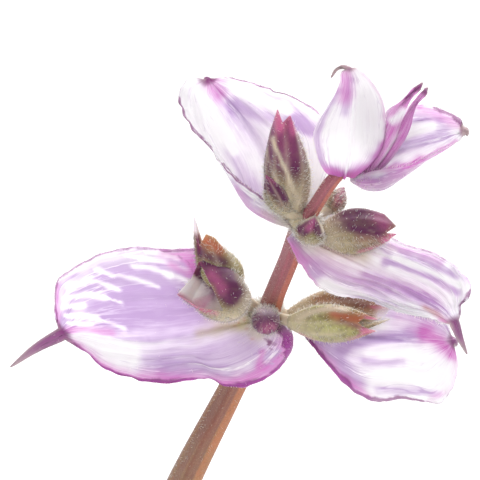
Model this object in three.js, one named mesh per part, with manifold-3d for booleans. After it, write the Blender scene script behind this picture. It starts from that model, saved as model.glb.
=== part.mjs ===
import * as THREE from "three";
import { mergeVertices } from "three/addons/utils/BufferGeometryUtils.js";
import Module from "manifold-3d";

const wasm = await Module();
wasm.setup();

// Potted clary sage, in millimetres, +Z up. The origin is the middle of the pot's foot.

// Pot and soil
const POT_HEIGHT = 110;
const FOOT_RADIUS = 44;
const WAIST_RADIUS = 58;
const COLLAR_RADIUS = 65;
const COLLAR_HEIGHT = 26;
const WALL = 5.5;
const FLOOR = 7;
const RIM_ROUND = 1.2;
const POT_SIDES = 30;
const DRAIN_HOLES = 4;
const DRAIN_RADIUS = 5;
const DRAIN_RING = 24;
const SOIL_TOP = 98.5;
const SOIL_RINGS = [54, 38, 20];
const SOIL_LUMPS = 1.3;
const SOIL_SIDES = 20;

// Clear space between touching pieces
const GAP = 0.32;

// Main stem: square, shallowly grooved, set into the soil
const STEM_DEPTH = 15;
const STEM_TURN = 25;
const STEM_CORNER = 1.28;
const STEM_GROOVE = 0.93;
const NODE_1 = new THREE.Vector3(30, -12, 372);

// The spike's tip is laid out on a plane through node 1 that leans back by this angle
const SPRAY_TILT = 28;

// Thickness of a papery bract, of a leaf's blade and of its midrib under the blade
const BRACT_THICK = 0.66;
const LEAF_THICK = 0.8;
const LEAF_RIB = 2.0;

const { clamp, degToRad: rad, lerp } = THREE.MathUtils;
const vec = (x, y, z) => new THREE.Vector3(x, y, z);
const smooth = (x) => x * x * (3 - 2 * x);

// A direction or step on the spray plane: right, up the plane and out of it
function spray(right, up, out) {
  const tilt = rad(SPRAY_TILT);
  const back = up * Math.sin(tilt) - out * Math.cos(tilt);
  const rise = up * Math.cos(tilt) + out * Math.sin(tilt);
  return vec(right, back, rise);
}

const onSpray = (right, up, out) => spray(right, up, out).add(NODE_1);

// A level heading turned up by a rise, both in degrees
function direction(heading, rise) {
  const flat = Math.cos(rad(rise));
  return vec(flat * Math.cos(rad(heading)), flat * Math.sin(rad(heading)), Math.sin(rad(rise)));
}

// Closed surfaces

function volumeOf(geometry) {
  const place = geometry.getAttribute("position");
  const index = geometry.getIndex().array;
  const [a, b, c] = [vec(), vec(), vec()];
  let sum = 0;
  for (let i = 0; i < index.length; i += 3) {
    a.fromBufferAttribute(place, index[i]);
    b.fromBufferAttribute(place, index[i + 1]);
    c.fromBufferAttribute(place, index[i + 2]);
    sum += a.dot(b.cross(c)) / 6;
  }
  return sum;
}

// One closed surface: shared corners merged, flat slivers dropped, faces turned out
function closed(geometry) {
  const bare = new THREE.BufferGeometry();
  bare.setAttribute("position", geometry.getAttribute("position").clone());
  if (geometry.getIndex()) bare.setIndex(geometry.getIndex().clone());
  const merged = mergeVertices(bare, 1e-4);
  const index = merged.getIndex().array;
  const faces = [];
  for (let i = 0; i < index.length; i += 3) {
    const [a, b, c] = [index[i], index[i + 1], index[i + 2]];
    if (a !== b && b !== c && c !== a) faces.push([a, b, c]);
  }
  merged.setIndex(faces.flat());
  if (volumeOf(merged) < 0) merged.setIndex(faces.map(([a, b, c]) => [a, c, b]).flat());
  return merged;
}

function geometryFrom(points, faces) {
  const geometry = new THREE.BufferGeometry().setFromPoints(points);
  geometry.setIndex(faces.flat());
  return closed(geometry);
}

// Equal rings of points joined into a skin, with a point that closes each end
function skin(rings, first, last) {
  const sides = rings[0].length;
  const points = [...rings.flat(), first, last];
  const faces = [];
  const at = (ring, side) => ring * sides + (side % sides);
  for (let k = 0; k < sides; k++) {
    for (let r = 0; r + 1 < rings.length; r++) {
      faces.push([at(r, k), at(r, k + 1), at(r + 1, k + 1)], [at(r, k), at(r + 1, k + 1), at(r + 1, k)]);
    }
    faces.push([at(0, k + 1), at(0, k), points.length - 2]);
    faces.push([at(rings.length - 1, k), at(rings.length - 1, k + 1), points.length - 1]);
  }
  return geometryFrom(points, faces);
}

// Two equal grids of points, one above the other, split into the same triangles and joined round the edge
function sheet(upper, under) {
  const rows = upper.length;
  const columns = upper[0].length;
  const at = (side, i, j) => (side * rows + i) * columns + j;
  const faces = [];
  for (let i = 0; i + 1 < rows; i++) {
    for (let j = 0; j + 1 < columns; j++) {
      faces.push([at(0, i, j), at(0, i + 1, j), at(0, i + 1, j + 1)]);
      faces.push([at(0, i, j), at(0, i + 1, j + 1), at(0, i, j + 1)]);
      faces.push([at(1, i, j), at(1, i + 1, j + 1), at(1, i + 1, j)]);
      faces.push([at(1, i, j), at(1, i, j + 1), at(1, i + 1, j + 1)]);
    }
  }
  const edge = (i, j, m, n) => {
    faces.push([at(0, i, j), at(1, i, j), at(1, m, n)], [at(0, i, j), at(1, m, n), at(0, m, n)]);
  };
  for (let i = 0; i + 1 < rows; i++) {
    edge(i, 0, i + 1, 0);
    edge(i + 1, columns - 1, i, columns - 1);
  }
  for (let j = 0; j + 1 < columns; j++) {
    edge(0, j + 1, 0, j);
    edge(rows - 1, j, rows - 1, j + 1);
  }
  return geometryFrom([...upper.flat(), ...under.flat()], faces);
}

// Joins and cuts

function solidOf(geometry) {
  return new wasm.Manifold(new wasm.Mesh({
    numProp: 3,
    vertProperties: new Float32Array(geometry.getAttribute("position").array),
    triVerts: new Uint32Array(geometry.getIndex().array),
  }));
}

function geometryOf(solid) {
  const mesh = solid.getMesh();
  const geometry = new THREE.BufferGeometry();
  geometry.setAttribute("position", new THREE.BufferAttribute(mesh.vertProperties, 3));
  geometry.setIndex(new THREE.BufferAttribute(mesh.triVerts, 1));
  return geometry;
}

const join = (geometries) => geometries.map(solidOf).reduce((all, next) => all.add(next));

// What is left of a solid, cut by others, without loose scraps
function cut(solid, ...tools) {
  const rest = tools.reduce((left, tool) => left.subtract(tool), solid);
  const pieces = rest.decompose();
  return pieces.reduce((best, next) => (next.volume() > best.volume() ? next : best));
}

// Stems

// The square section of a stem at a centre, with its corners rounded and its faces grooved
function squareRing(centre, along, across, width, grow) {
  const other = along.clone().cross(across);
  return Array.from({ length: 8 }, (_, k) => {
    const reach = (width / 2) * (k % 2 ? STEM_CORNER : STEM_GROOVE) + grow;
    const angle = rad(45 * k);
    return centre.clone()
      .addScaledVector(across, reach * Math.cos(angle))
      .addScaledVector(other, reach * Math.sin(angle));
  });
}

// A square stem through stations of place and width, with rings at the stations and halfway between
function squareStem(stations, grow = 0) {
  const curve = new THREE.CatmullRomCurve3(stations.map((s) => s.at), false, "centripetal");
  const steps = 2 * (stations.length - 1);
  const rings = [];
  let across = vec(Math.cos(rad(STEM_TURN)), Math.sin(rad(STEM_TURN)), 0);
  for (let i = 0; i <= steps; i++) {
    const along = curve.getTangent(i / steps);
    const before = stations[Math.floor(i / 2)];
    const after = stations[Math.ceil(i / 2)];
    across = across.clone().addScaledVector(along, -across.dot(along)).normalize();
    const centre = curve.getPoint(i / steps).addScaledVector(along, i === 0 ? -grow : i === steps ? grow : 0);
    rings.push(squareRing(centre, along, across, (before.width + after.width) / 2, grow));
  }
  const middle = (ring) => ring.reduce((sum, p) => sum.add(p), vec(0, 0, 0)).divideScalar(ring.length);
  return skin(rings, middle(rings[0]), middle(rings[rings.length - 1]));
}

// Blades: leaves and bracts

const BLADE = {
  stalk: 0, stalkHalf: 0, cuspAt: 1, cuspHalf: 0.3, bend: 0, bendPower: 1, cuspBend: 0, sway: 0, cuspSway: 0,
  share: 1, wide: 0.5, atBase: 0.4, rise: 1, point: 2, blunt: 0.6, fold: 0, foldFade: 0.3, cup: 20,
  lobe: 0, lobeAt: 0.1, wave: 0, waves: 3, scallop: 0, scallops: 1, shortCusp: false, left: {}, right: {},
};

// The midrib of a blade: its place, heading, side and normal, as a function of 0 at the foot to 1 at the tip.
// Its heading turns by the bend all along, and by the cusp's own bend and sway past the body's end.
function midrib(s) {
  const steps = 48;
  const aim = s.aim.clone().normalize();
  const face = s.face.clone().addScaledVector(aim, -s.face.dot(aim)).normalize();
  const side = face.clone().cross(aim);
  const heading = (u) => {
    const q = smooth(clamp((u - s.cuspAt) / Math.max(1e-6, 1 - s.cuspAt), 0, 1));
    const pitch = rad(s.bend * u ** s.bendPower + s.cuspBend * q);
    const yaw = rad(s.sway * u + s.cuspSway * q);
    return aim.clone().multiplyScalar(Math.cos(pitch) * Math.cos(yaw))
      .addScaledVector(face, Math.sin(pitch))
      .addScaledVector(side, Math.cos(pitch) * Math.sin(yaw))
      .normalize();
  };
  const places = [s.base.clone()];
  for (let i = 0; i < steps; i++) {
    places.push(places[i].clone().addScaledVector(heading((i + 0.5) / steps), s.length / steps));
  }
  return (u) => {
    const i = Math.min(steps - 1, Math.floor(u * steps));
    const along = heading(u);
    const across = side.clone().addScaledVector(along, -along.dot(side)).normalize();
    return {
      place: places[i].clone().lerp(places[i + 1], u * steps - i),
      along,
      across,
      normal: along.clone().cross(across),
    };
  };
}

// Half width as a share of the most, from the body's base (0) to its end (1)
function halfOutline(q, h) {
  if (q < h.wide) return h.atBase + (1 - h.atBase) * Math.sin((Math.PI / 2) * (q / h.wide)) ** h.rise;
  const fall = ((q - h.wide) / (1 - h.wide)) ** h.point;
  return Math.max(0, 1 - fall) ** h.blunt;
}

// A point on a blade, u from foot to tip, v from -1 at the left edge to 1 at the right.
// Each half leaves the midrib at its fold angle and curls by its cup angle on the way out to its edge.
function bladePoint(s, rib, u, v) {
  const h = { ...s, ...(v < 0 ? s.left : s.right) };
  const { place, along, across, normal } = rib(u);
  const q = clamp((u - s.stalk) / (s.cuspAt - s.stalk), 0, 1);
  const c = clamp((u - s.cuspAt) / Math.max(1e-6, 1 - s.cuspAt), 0, 1);
  const body = u < s.stalk - 1e-9 ? 0 : (s.width / 2) * halfOutline(q, h) * h.share;
  const notch = 1 + s.scallop * Math.cos(2 * Math.PI * s.scallops * q);
  const half = body * notch + s.stalkHalf * (1 - q) + s.cuspHalf * q ** 8 * (1 - c) + 0.12;
  const a = Math.abs(v);
  const cup = rad(lerp(h.cup, h.cupTip ?? h.cup, u)) || 1e-3;
  const fold = rad(h.fold * (1 - h.foldFade * u));
  const out = (half * (Math.sin(fold + cup * a) - Math.sin(fold))) / cup;
  const up = (half * (Math.cos(fold) - Math.cos(fold + cup * a))) / cup;
  const back = h.lobe * s.length * a ** 1.6 * (q / h.lobeAt) * Math.exp(1 - q / h.lobeAt);
  const swell = Math.sin(Math.PI * clamp(u / s.cuspAt, 0, 1)) ** 0.5 || 0;
  const wave = s.wave * a ** 2.5 * Math.sin(2 * Math.PI * s.waves * u + (v < 0 ? 1.3 : 0)) * swell;
  return place.addScaledVector(across, Math.sign(v) * out)
    .addScaledVector(normal, up + wave)
    .addScaledVector(along, -back);
}

// Row places along a blade: down the stalk, close together at the body's base, and out along the cusp
function bladeRows(s, count) {
  const rows = s.stalk > 0 ? [0, s.stalk * 0.35, s.stalk * 0.7] : [];
  for (let i = 0; i <= count; i++) {
    const t = i / count;
    const q = s.scallop > 0 ? t : t * (1 - 0.45 * (1 - t) ** 2);
    rows.push(s.stalk + (s.cuspAt - s.stalk) * q);
  }
  if (s.cuspAt < 1) rows.push(...(s.shortCusp ? [1] : [(1 + s.cuspAt) / 2, 1]));
  return rows;
}

// A blade as one solid. The ridge under the midrib thins out towards the tip.
function blade(spec, rowCount, columns, thick, ridge = 0) {
  const s = { ...BLADE, ...spec };
  const rib = midrib(s);
  const rows = bladeRows(s, rowCount);
  const across = columns.map((v) => rows.map((u) => bladePoint(s, rib, u, v)));
  const upper = [];
  const under = [];
  rows.forEach((u, i) => {
    upper.push([]);
    under.push([]);
    columns.forEach((v, j) => {
      const here = across[j][i];
      const ahead = across[j][Math.min(i + 1, rows.length - 1)].clone().sub(across[j][Math.max(i - 1, 0)]);
      const aside = across[Math.min(j + 1, columns.length - 1)][i].clone().sub(across[Math.max(j - 1, 0)][i]);
      const normal = ahead.cross(aside).normalize();
      const below = ridge * Math.max(0, 1 - Math.abs(v) * 6) * (1 - u) ** 0.7;
      const stalk = u < s.stalk ? ridge * 0.4 * (1 - v * v) : 0;
      upper[i].push(here.clone().addScaledVector(normal, thick / 2 + stalk));
      under[i].push(here.clone().addScaledVector(normal, -thick / 2 - below - stalk));
    });
  });
  return sheet(upper, under);
}

// Calyces and buds

const CALYX = {
  tooth: 0.25, close: 0.4, mouth: 0.05, rib: 0.05, sides: 8, grow: 0,
  profile: [[0, 0.28], [0.25, 0.78], [0.55, 1], [0.8, 0.92], [1, 0.7]],
};

// A ribbed bell. Its rim rises into teeth that lean together by the closing share, round a sunk mouth.
function calyx(spec) {
  const s = { ...CALYX, ...spec };
  const aim = s.aim.clone().normalize();
  const face = s.face.clone().addScaledVector(aim, -s.face.dot(aim)).normalize();
  const other = aim.clone().cross(face);
  const ring = ([q, reach]) => Array.from({ length: s.sides }, (_, k) => {
    const angle = (2 * Math.PI * k) / s.sides;
    const tooth = k % 2 ? 0 : 1;
    const far = q + (q >= 1 ? s.tooth * tooth : 0);
    const lean = 1 - s.close * clamp((far - 0.7) / 0.5, 0, 1);
    const radius = (s.width / 2) * reach * (1 + s.rib * (2 * tooth - 1)) * lean + s.grow;
    return s.base.clone()
      .addScaledVector(aim, s.length * far + (q >= 1 ? s.grow : 0) - (q <= 0 ? s.grow : 0))
      .addScaledVector(face, radius * Math.cos(angle))
      .addScaledVector(other, radius * Math.sin(angle));
  });
  const foot = s.base.clone().addScaledVector(aim, -0.05 * s.length - s.grow);
  const mouth = s.base.clone().addScaledVector(aim, s.length * (1 - s.mouth) + s.grow);
  return skin(s.profile.map(ring), foot, mouth);
}

// A straight stalk, thicker at its root
function pedicel(from, to, root, end, sides = 4) {
  const along = to.clone().sub(from);
  const stalk = new THREE.CylinderGeometry(end, root, along.length(), sides, 1);
  stalk.applyQuaternion(new THREE.Quaternion().setFromUnitVectors(vec(0, 1, 0), along.clone().normalize()));
  const middle = from.clone().lerp(to, 0.5);
  stalk.translate(middle.x, middle.y, middle.z);
  return closed(stalk);
}

// The swollen joint that the parts of a whorl grow from
function joint(centre, along, radius, height, grow) {
  const bottom = centre.clone().addScaledVector(along, -height / 2 - grow);
  const top = centre.clone().addScaledVector(along, height / 2 + grow);
  return pedicel(bottom, top, radius + grow, (radius + grow) * 0.9, 8);
}

// A whorl: calyces round a swollen joint, on short stalks where they stand clear of it
function whorl(w, grow = 0) {
  const pieces = [joint(w.centre, w.along, w.radius, w.height, grow)];
  w.calyces.forEach((c) => {
    const root = c.base.clone().addScaledVector(c.aim.clone().normalize(), 0.5);
    if (w.stalked) pieces.push(pedicel(w.centre, root, 0.8 + grow, 0.7 + grow));
    pieces.push(calyx({ ...c, grow }));
  });
  return join(pieces);
}

// Pot

function potGeometry() {
  const waistHeight = POT_HEIGHT - COLLAR_HEIGHT;
  const profile = [
    [0, 0], [FOOT_RADIUS - RIM_ROUND, 0], [FOOT_RADIUS, RIM_ROUND],
    [WAIST_RADIUS, waistHeight], [COLLAR_RADIUS - 2, waistHeight + 1], [COLLAR_RADIUS, POT_HEIGHT - RIM_ROUND],
    [COLLAR_RADIUS - RIM_ROUND, POT_HEIGHT], [COLLAR_RADIUS - WALL, POT_HEIGHT],
    [COLLAR_RADIUS - WALL - 1, waistHeight + 3],
    [potInside(waistHeight), waistHeight], [potInside(FLOOR), FLOOR], [0, FLOOR],
  ];
  const pot = new THREE.LatheGeometry(profile.map(([r, z]) => new THREE.Vector2(r, z)), POT_SIDES);
  pot.rotateX(Math.PI / 2);
  let solid = solidOf(closed(pot));
  for (let k = 0; k < DRAIN_HOLES; k++) {
    const angle = ((k + 0.5) * 2 * Math.PI) / DRAIN_HOLES;
    const hole = new THREE.CylinderGeometry(DRAIN_RADIUS, DRAIN_RADIUS, 3 * FLOOR, 12);
    hole.rotateX(Math.PI / 2);
    hole.translate(DRAIN_RING * Math.cos(angle), DRAIN_RING * Math.sin(angle), 0);
    solid = solid.subtract(solidOf(closed(hole)));
  }
  return geometryOf(solid);
}

// Radius of the pot's tapered inside at a height below the collar
function potInside(z) {
  const waistHeight = POT_HEIGHT - COLLAR_HEIGHT;
  return lerp(FOOT_RADIUS, WAIST_RADIUS, z / waistHeight) - WALL;
}

// Soil fills the pot to below the rim, with a lumpy top and a hole for the stem
function soilGeometry(stemSpace) {
  const waistHeight = POT_HEIGHT - COLLAR_HEIGHT;
  const collarInside = COLLAR_RADIUS - WALL - 1;
  const lumps = (x, y) => SOIL_LUMPS * (Math.sin(0.21 * x + 1.1) * Math.cos(0.17 * y) + 0.6 * Math.sin(0.43 * y + 0.31 * x));
  const ring = (radius, height, lumpy) => Array.from({ length: SOIL_SIDES }, (_, k) => {
    const angle = (2 * Math.PI * k) / SOIL_SIDES;
    const [x, y] = [radius * Math.cos(angle), radius * Math.sin(angle)];
    return vec(x, y, height + (lumpy ? lumps(x, y) : 0));
  });
  const rings = [
    ring(potInside(FLOOR) - GAP, FLOOR + GAP, false),
    ring(potInside(waistHeight) - GAP - 0.2, waistHeight, false),
    ring(collarInside - GAP, waistHeight + 3 + GAP, false),
    ring(collarInside - GAP, SOIL_TOP - 1.5, false),
    ...SOIL_RINGS.map((radius) => ring(radius, SOIL_TOP, true)),
  ];
  const soil = skin(rings, vec(0, 0, FLOOR + GAP), vec(0, 0, SOIL_TOP + lumps(0, 0)));
  return geometryOf(cut(solidOf(soil), stemSpace));
}

// Places along the main stem, and the width of its faces there
const STATIONS = {
  foot: { at: vec(0, 0, SOIL_TOP - STEM_DEPTH), width: 6.6 },
  crown: { at: vec(0, 0, 104), width: 6.6 },
  leaves1: { at: vec(-2.6, 2.2, 138), width: 6.1 },
  leaves2: { at: vec(-4.1, 3.9, 172), width: 5.7 },
  branchesA: { at: vec(-4.2, 4.6, 207), width: 5.2 },
  branchesB: { at: vec(-2.5, 3.6, 249), width: 4.6 },
  nodeC: { at: vec(3.6, 0.5, 289), width: 4 },
  nodeD: { at: vec(13.2, -4.6, 327), width: 3.5 },
  bare1: { at: onSpray(-9.5, -19.4, -15), width: 3.05 },
  bare2: { at: onSpray(-4, -8.4, -7.4), width: 2.45 },
  node1: { at: NODE_1, width: 2.25 },
  bare3: { at: onSpray(1.2, 3.4, 2.8), width: 1.9 },
  bare4: { at: onSpray(2.6, 6.9, 5.6), width: 1.85 },
  node2: { at: onSpray(3.9, 10.6, 8.6), width: 1.8 },
  bare5: { at: onSpray(5.4, 12.8, 10.4), width: 1.3 },
  node3: { at: onSpray(7.3, 15.7, 12.5), width: 1.1 },
};
const MAIN = Object.values(STATIONS);
const MAIN_CURVE = new THREE.CatmullRomCurve3(MAIN.map((s) => s.at), false, "centripetal");

// The main stem's heading at one of its stations
function headingAt(name) {
  return MAIN_CURVE.getTangent(Object.keys(STATIONS).indexOf(name) / (MAIN.length - 1));
}

// Side branches leave the main stem just above a node and bend upwards
const BRANCHES = [
  { node: "branchesA", heading: -10, length: 72, width: [3.2, 1.5], rise: [38, 66], whorls: [0.52, 0.77] },
  { node: "branchesA", heading: 170, length: 68, width: [3.2, 1.5], rise: [36, 64], whorls: [0.52, 0.77] },
  { node: "branchesB", heading: 80, length: 34, width: [2.5, 1.3], rise: [36, 62], whorls: [] },
  { node: "branchesB", heading: 260, length: 36, width: [2.5, 1.3], rise: [40, 64], whorls: [] },
];

function branchStations(b) {
  const steps = 3;
  const root = STATIONS[b.node].at.clone().addScaledVector(headingAt(b.node), 2.5);
  const stations = [{ at: root, width: b.width[0] }];
  for (let i = 0; i < steps; i++) {
    const t = (i + 0.5) / steps;
    const along = direction(b.heading, lerp(...b.rise, t));
    stations.push({
      at: stations[i].at.clone().addScaledVector(along, b.length / steps),
      width: lerp(...b.width, (i + 1) / steps),
    });
  }
  return stations;
}

// Leaves: heights on the stem, headings, and the sizes of stalk and blade
const LEAVES = [
  { name: "leaf_base_1", z: 103.2, heading: -12, rise: 24, stalk: 36, blade: 92, width: 58, droop: 62 },
  { name: "leaf_base_2", z: 103.2, heading: 166, rise: 27, stalk: 34, blade: 88, width: 56, droop: 66 },
  { name: "leaf_base_3", z: 107.2, heading: 78, rise: 27, stalk: 33, blade: 86, width: 56, droop: 60 },
  { name: "leaf_base_4", z: 107.2, heading: 258, rise: 25, stalk: 35, blade: 90, width: 57, droop: 64 },
  { name: "leaf_base_5", z: 112.0, heading: 33, rise: 45, stalk: 30, blade: 78, width: 49, droop: 66 },
  { name: "leaf_base_6", z: 112.0, heading: 214, rise: 48, stalk: 28, blade: 76, width: 48, droop: 70 },
  { name: "leaf_base_7", z: 117.0, heading: 122, rise: 52, stalk: 26, blade: 70, width: 44, droop: 70 },
  { name: "leaf_base_8", z: 117.0, heading: 304, rise: 50, stalk: 27, blade: 72, width: 45, droop: 68 },
  { name: "leaf_stem_1", z: 138, heading: -10, rise: 40, stalk: 12, blade: 54, width: 33, droop: 62 },
  { name: "leaf_stem_2", z: 138, heading: 170, rise: 38, stalk: 12, blade: 55, width: 33, droop: 58 },
  { name: "leaf_stem_3", z: 172, heading: 80, rise: 42, stalk: 6, blade: 42, width: 26, droop: 60 },
  { name: "leaf_stem_4", z: 172, heading: 260, rise: 40, stalk: 6, blade: 43, width: 26, droop: 56 },
];
const LEAF_COLUMNS = [-1, -0.5, 0, 0.5, 1];

// The middle of the main stem at a height
function stemAt(z) {
  const above = MAIN.findIndex((s) => s.at.z > z);
  const share = (z - MAIN[above - 1].at.z) / (MAIN[above].at.z - MAIN[above - 1].at.z);
  return MAIN_CURVE.getPoint((above - 1 + share) / (MAIN.length - 1));
}

function leafSpec(l) {
  const length = l.stalk + l.blade;
  return {
    base: stemAt(l.z), aim: direction(l.heading, l.rise), face: direction(l.heading, l.rise + 90),
    length, width: l.width, stalk: l.stalk / length, stalkHalf: 1.1, cuspHalf: 0.5,
    bend: -l.droop, bendPower: 1.25, wide: 0.34, atBase: 0.5, rise: 0.7, point: 1.75, blunt: 0.85,
    lobe: 0.07, lobeAt: 0.07, fold: 17, cup: -14, wave: 0.05 * l.width, waves: 3.5,
    scallop: 0.035, scallops: l.blade > 60 ? 6 : 5,
  };
}

// The six bracts of the photographed tip
const BRACTS = {
  bract_low_left: {
    base: onSpray(-0.6, -0.3, 0.9), aim: spray(-1, -0.09, 0.1), face: spray(0, 0.58, 0.81),
    length: 30.5, width: 23, cuspAt: 0.79, cuspHalf: 1.3, bend: -6, sway: -4, cuspBend: -25, cuspSway: 34,
    foldFade: 0.4, wave: 0.5, waves: 3.5,
    left: { fold: 10, cup: 8, share: 0.92, wide: 0.52, atBase: 0.15, rise: 1.2, point: 3.4, blunt: 0.42 },
    right: {
      fold: 10, cup: 30, share: 0.95, wide: 0.26, atBase: 0.05, rise: 0.55, point: 1.7, blunt: 0.65,
      lobe: 0.14, lobeAt: 0.1,
    },
  },
  bract_low_right: {
    base: onSpray(1.6, -0.8, 0.9), aim: spray(1, -0.14, 0.12), face: spray(-0.02, 0.5, 0.86),
    length: 22.5, width: 20, cuspAt: 0.9, cuspHalf: 0.8, bend: -16, cuspBend: -60, wave: 0.4, waves: 3,
    left: { fold: 2, cup: 10, share: 0.78, wide: 0.68, atBase: 0.08, rise: 1.25, point: 3.4, blunt: 0.4 },
    right: { fold: 8, cup: 10, share: 0.72, wide: 0.6, atBase: 0.1 },
  },
  bract_mid_left: {
    base: onSpray(3, 10, 8.4), aim: spray(-0.45, 0.86, -0.3), face: spray(0.5, 0.28, 0.82),
    length: 21.5, width: 19.5, cuspAt: 0.93, cuspHalf: 0.6, bend: -4, cuspBend: -90, wave: 0.5, waves: 3,
    left: { fold: 14, cup: 60, cupTip: 25, share: 0.8, wide: 0.58, atBase: 0.25, point: 3, blunt: 0.5 },
    right: { fold: 8, cup: 38, cupTip: 14, share: 1.1, wide: 0.55, atBase: 0.3, point: 3, blunt: 0.55 },
  },
  bract_mid_right: {
    base: onSpray(4.3, 9.5, 9.4), aim: spray(1, -0.34, 0.05), face: spray(0.12, 0.7, 0.7),
    length: 25, width: 18, cuspAt: 0.8, cuspHalf: 1, bend: -82, bendPower: 3.4, cuspBend: -6,
    wave: 0.6, waves: 4,
    left: { fold: 4, cup: 6, share: 0.86, wide: 0.5, atBase: 0.3, point: 3, blunt: 0.5 },
    right: { fold: 2, cup: 10, share: 0.48, wide: 0.6, atBase: 0.3, point: 3, blunt: 0.5 },
  },
  bract_top_near: {
    base: onSpray(6.7, 15.6, 13.5), aim: spray(0.04, 1, 0.22), face: spray(0.5, 0.25, -0.85),
    length: 13.4, width: 14.5, cuspAt: 0.93, cuspHalf: 0.6, bend: 14, cuspBend: -60, cuspSway: 100,
    wide: 0.46, atBase: 0.25, rise: 0.7, point: 2.6, blunt: 0.55, fold: 10, cup: 85,
  },
  bract_top_far: {
    base: onSpray(8.9, 15.4, 11.3), aim: spray(0.9, 0.31, -0.1), face: spray(-0.35, 0.75, 0.6),
    length: 15.2, width: 17, cuspAt: 0.94, cuspHalf: 0.4, bend: 6, cuspBend: -60,
    wide: 0.48, atBase: 0.3, rise: 0.8, point: 2.6, blunt: 0.6,
    left: { fold: 16, cup: 62, share: 1.15 },
    right: { fold: 14, cup: 34, share: 0.9 },
  },
};
const BRACT_COLUMNS = [-1, -0.66, -0.33, 0, 0.33, 0.66, 1];

// The two whorls of the photographed tip
const LOW_WHORL = {
  centre: onSpray(0.25, 0.6, 0.5), along: headingAt("node1"), radius: 2.4, height: 1.4, stalked: true,
  calyces: [
    {
      base: onSpray(-2.5, 1.7, 2.5), aim: spray(-0.42, 0.8, -0.1), face: spray(0.3, 0.2, 0.9),
      length: 8, width: 4.6, tooth: 0.3, close: 0.5,
    },
    {
      base: onSpray(-2.2, 1, 4.5), aim: spray(-0.8, 0.45, 0.35), face: spray(0.1, 0.9, 0.3),
      length: 5.6, width: 5.2, tooth: 0.3, close: 0.1, mouth: 0.35,
    },
    {
      base: onSpray(0.1, -0.3, 2.2), aim: spray(0.02, 0.25, 1), face: spray(0, 1, 0),
      length: 2.6, width: 3.1, tooth: 0.2, close: 0.9, sides: 6,
    },
    {
      base: onSpray(2.4, -0.1, 2.5), aim: spray(1, -0.06, 0.25), face: spray(0, 1, 0.2),
      length: 8.2, width: 4.5, tooth: 0.22, close: 0.7,
    },
    {
      base: onSpray(2.4, 0.5, -0.2), aim: spray(1, 0.08, -0.1), face: spray(0, 1, 0.2),
      length: 10, width: 3.8, tooth: 0.3, close: 0.7,
    },
  ],
};
const MID_WHORL = {
  centre: onSpray(4.4, 11.2, 9.1), along: headingAt("node2"), radius: 2, height: 1.2, stalked: true,
  calyces: [
    {
      base: onSpray(3.8, 11.7, 9), aim: spray(-0.14, 1, 0.1), face: spray(-0.5, 0.1, 0.8),
      length: 11, width: 4.9, tooth: 0.22, close: 0.45,
      profile: [[0, 0.3], [0.25, 0.85], [0.5, 1], [0.8, 0.8], [1, 0.6]],
    },
    {
      base: onSpray(2.6, 12.3, 10), aim: spray(-0.5, 0.9, 0.25), face: spray(0, 0.1, 1),
      length: 4.6, width: 2.9, tooth: 0.2, close: 0.8, sides: 6,
    },
    {
      base: onSpray(4.6, 9.7, 10.5), aim: spray(0.12, 0.8, 0.8), face: spray(0, 0.3, 0.9),
      length: 2.9, width: 2.7, tooth: 0.4, close: 0.9, sides: 6,
    },
    {
      base: onSpray(5.9, 9.9, 8.8), aim: spray(1, 0.02, 0.15), face: spray(0, 1, 0.2),
      length: 7.9, width: 4.9, tooth: 0.18, close: 0.5,
    },
    {
      base: onSpray(7.6, 12.2, 5), aim: spray(0.3, 1, -0.3), face: spray(0.2, 0, 1),
      length: 3.6, width: 2.4, tooth: 0.3, close: 0.8, sides: 6,
    },
  ],
};

// The youngest parts at the very tip: two folded bractlets on a bud that caps the stem
const AWN_PROFILE = [[0, 0.3], [0.25, 1], [0.5, 0.7], [0.75, 0.3], [1, 0.06]];
const TIP_BUD = {
  base: onSpray(8.1, 16.4, 12.9), aim: spray(0.5, 1, 0.1), face: spray(0, 0, 1),
  length: 5, width: 2.6, tooth: 0.1, close: 0.9, sides: 6,
};
const AWNS = [
  { ...TIP_BUD, base: onSpray(9.6, 16.6, 13), aim: spray(0.6, 1, -0.1), length: 11.6, profile: AWN_PROFILE, tooth: 0 },
  { ...TIP_BUD, base: onSpray(10.4, 16.6, 12), aim: spray(0.66, 1, -0.1), length: 11.2, profile: AWN_PROFILE, tooth: 0 },
];

// Bracts of the other whorls, by heading round the axis they grow on
const PLAIN_BRACT = {
  cuspAt: 0.84, cuspHalf: 0.5, bend: -34, cuspBend: -30, wide: 0.42, atBase: 0.2, rise: 0.6, point: 2.4, blunt: 0.6,
  fold: 8, cup: 22, wave: 0.4, waves: 2,
};
const SMALL_COLUMNS = [-1, -0.4, 0.4, 1];

function plainBract(centre, offset, heading, rise, length, width) {
  return {
    ...PLAIN_BRACT, base: centre.clone().addScaledVector(direction(heading, 0), offset),
    aim: direction(heading, rise), face: direction(heading, rise + 90), length, width,
  };
}

// A ring of equal calyces round a joint
function evenWhorl(centre, along, radius, count, turn, length) {
  const calyces = Array.from({ length: count }, (_, k) => {
    const out = direction(turn + (360 * k) / count, 0);
    out.addScaledVector(along, -out.dot(along)).normalize();
    const aim = out.clone().addScaledVector(along, 0.9).normalize();
    return {
      base: centre.clone().addScaledVector(out, radius - 0.7),
      aim, face: out, length, width: 0.5 * length, tooth: 0.28, close: 0.5, sides: 6,
      profile: [[0, 0.45], [0.5, 1], [1, 0.75]],
    };
  });
  return { centre, along, radius, height: 1.4, calyces };
}

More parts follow.
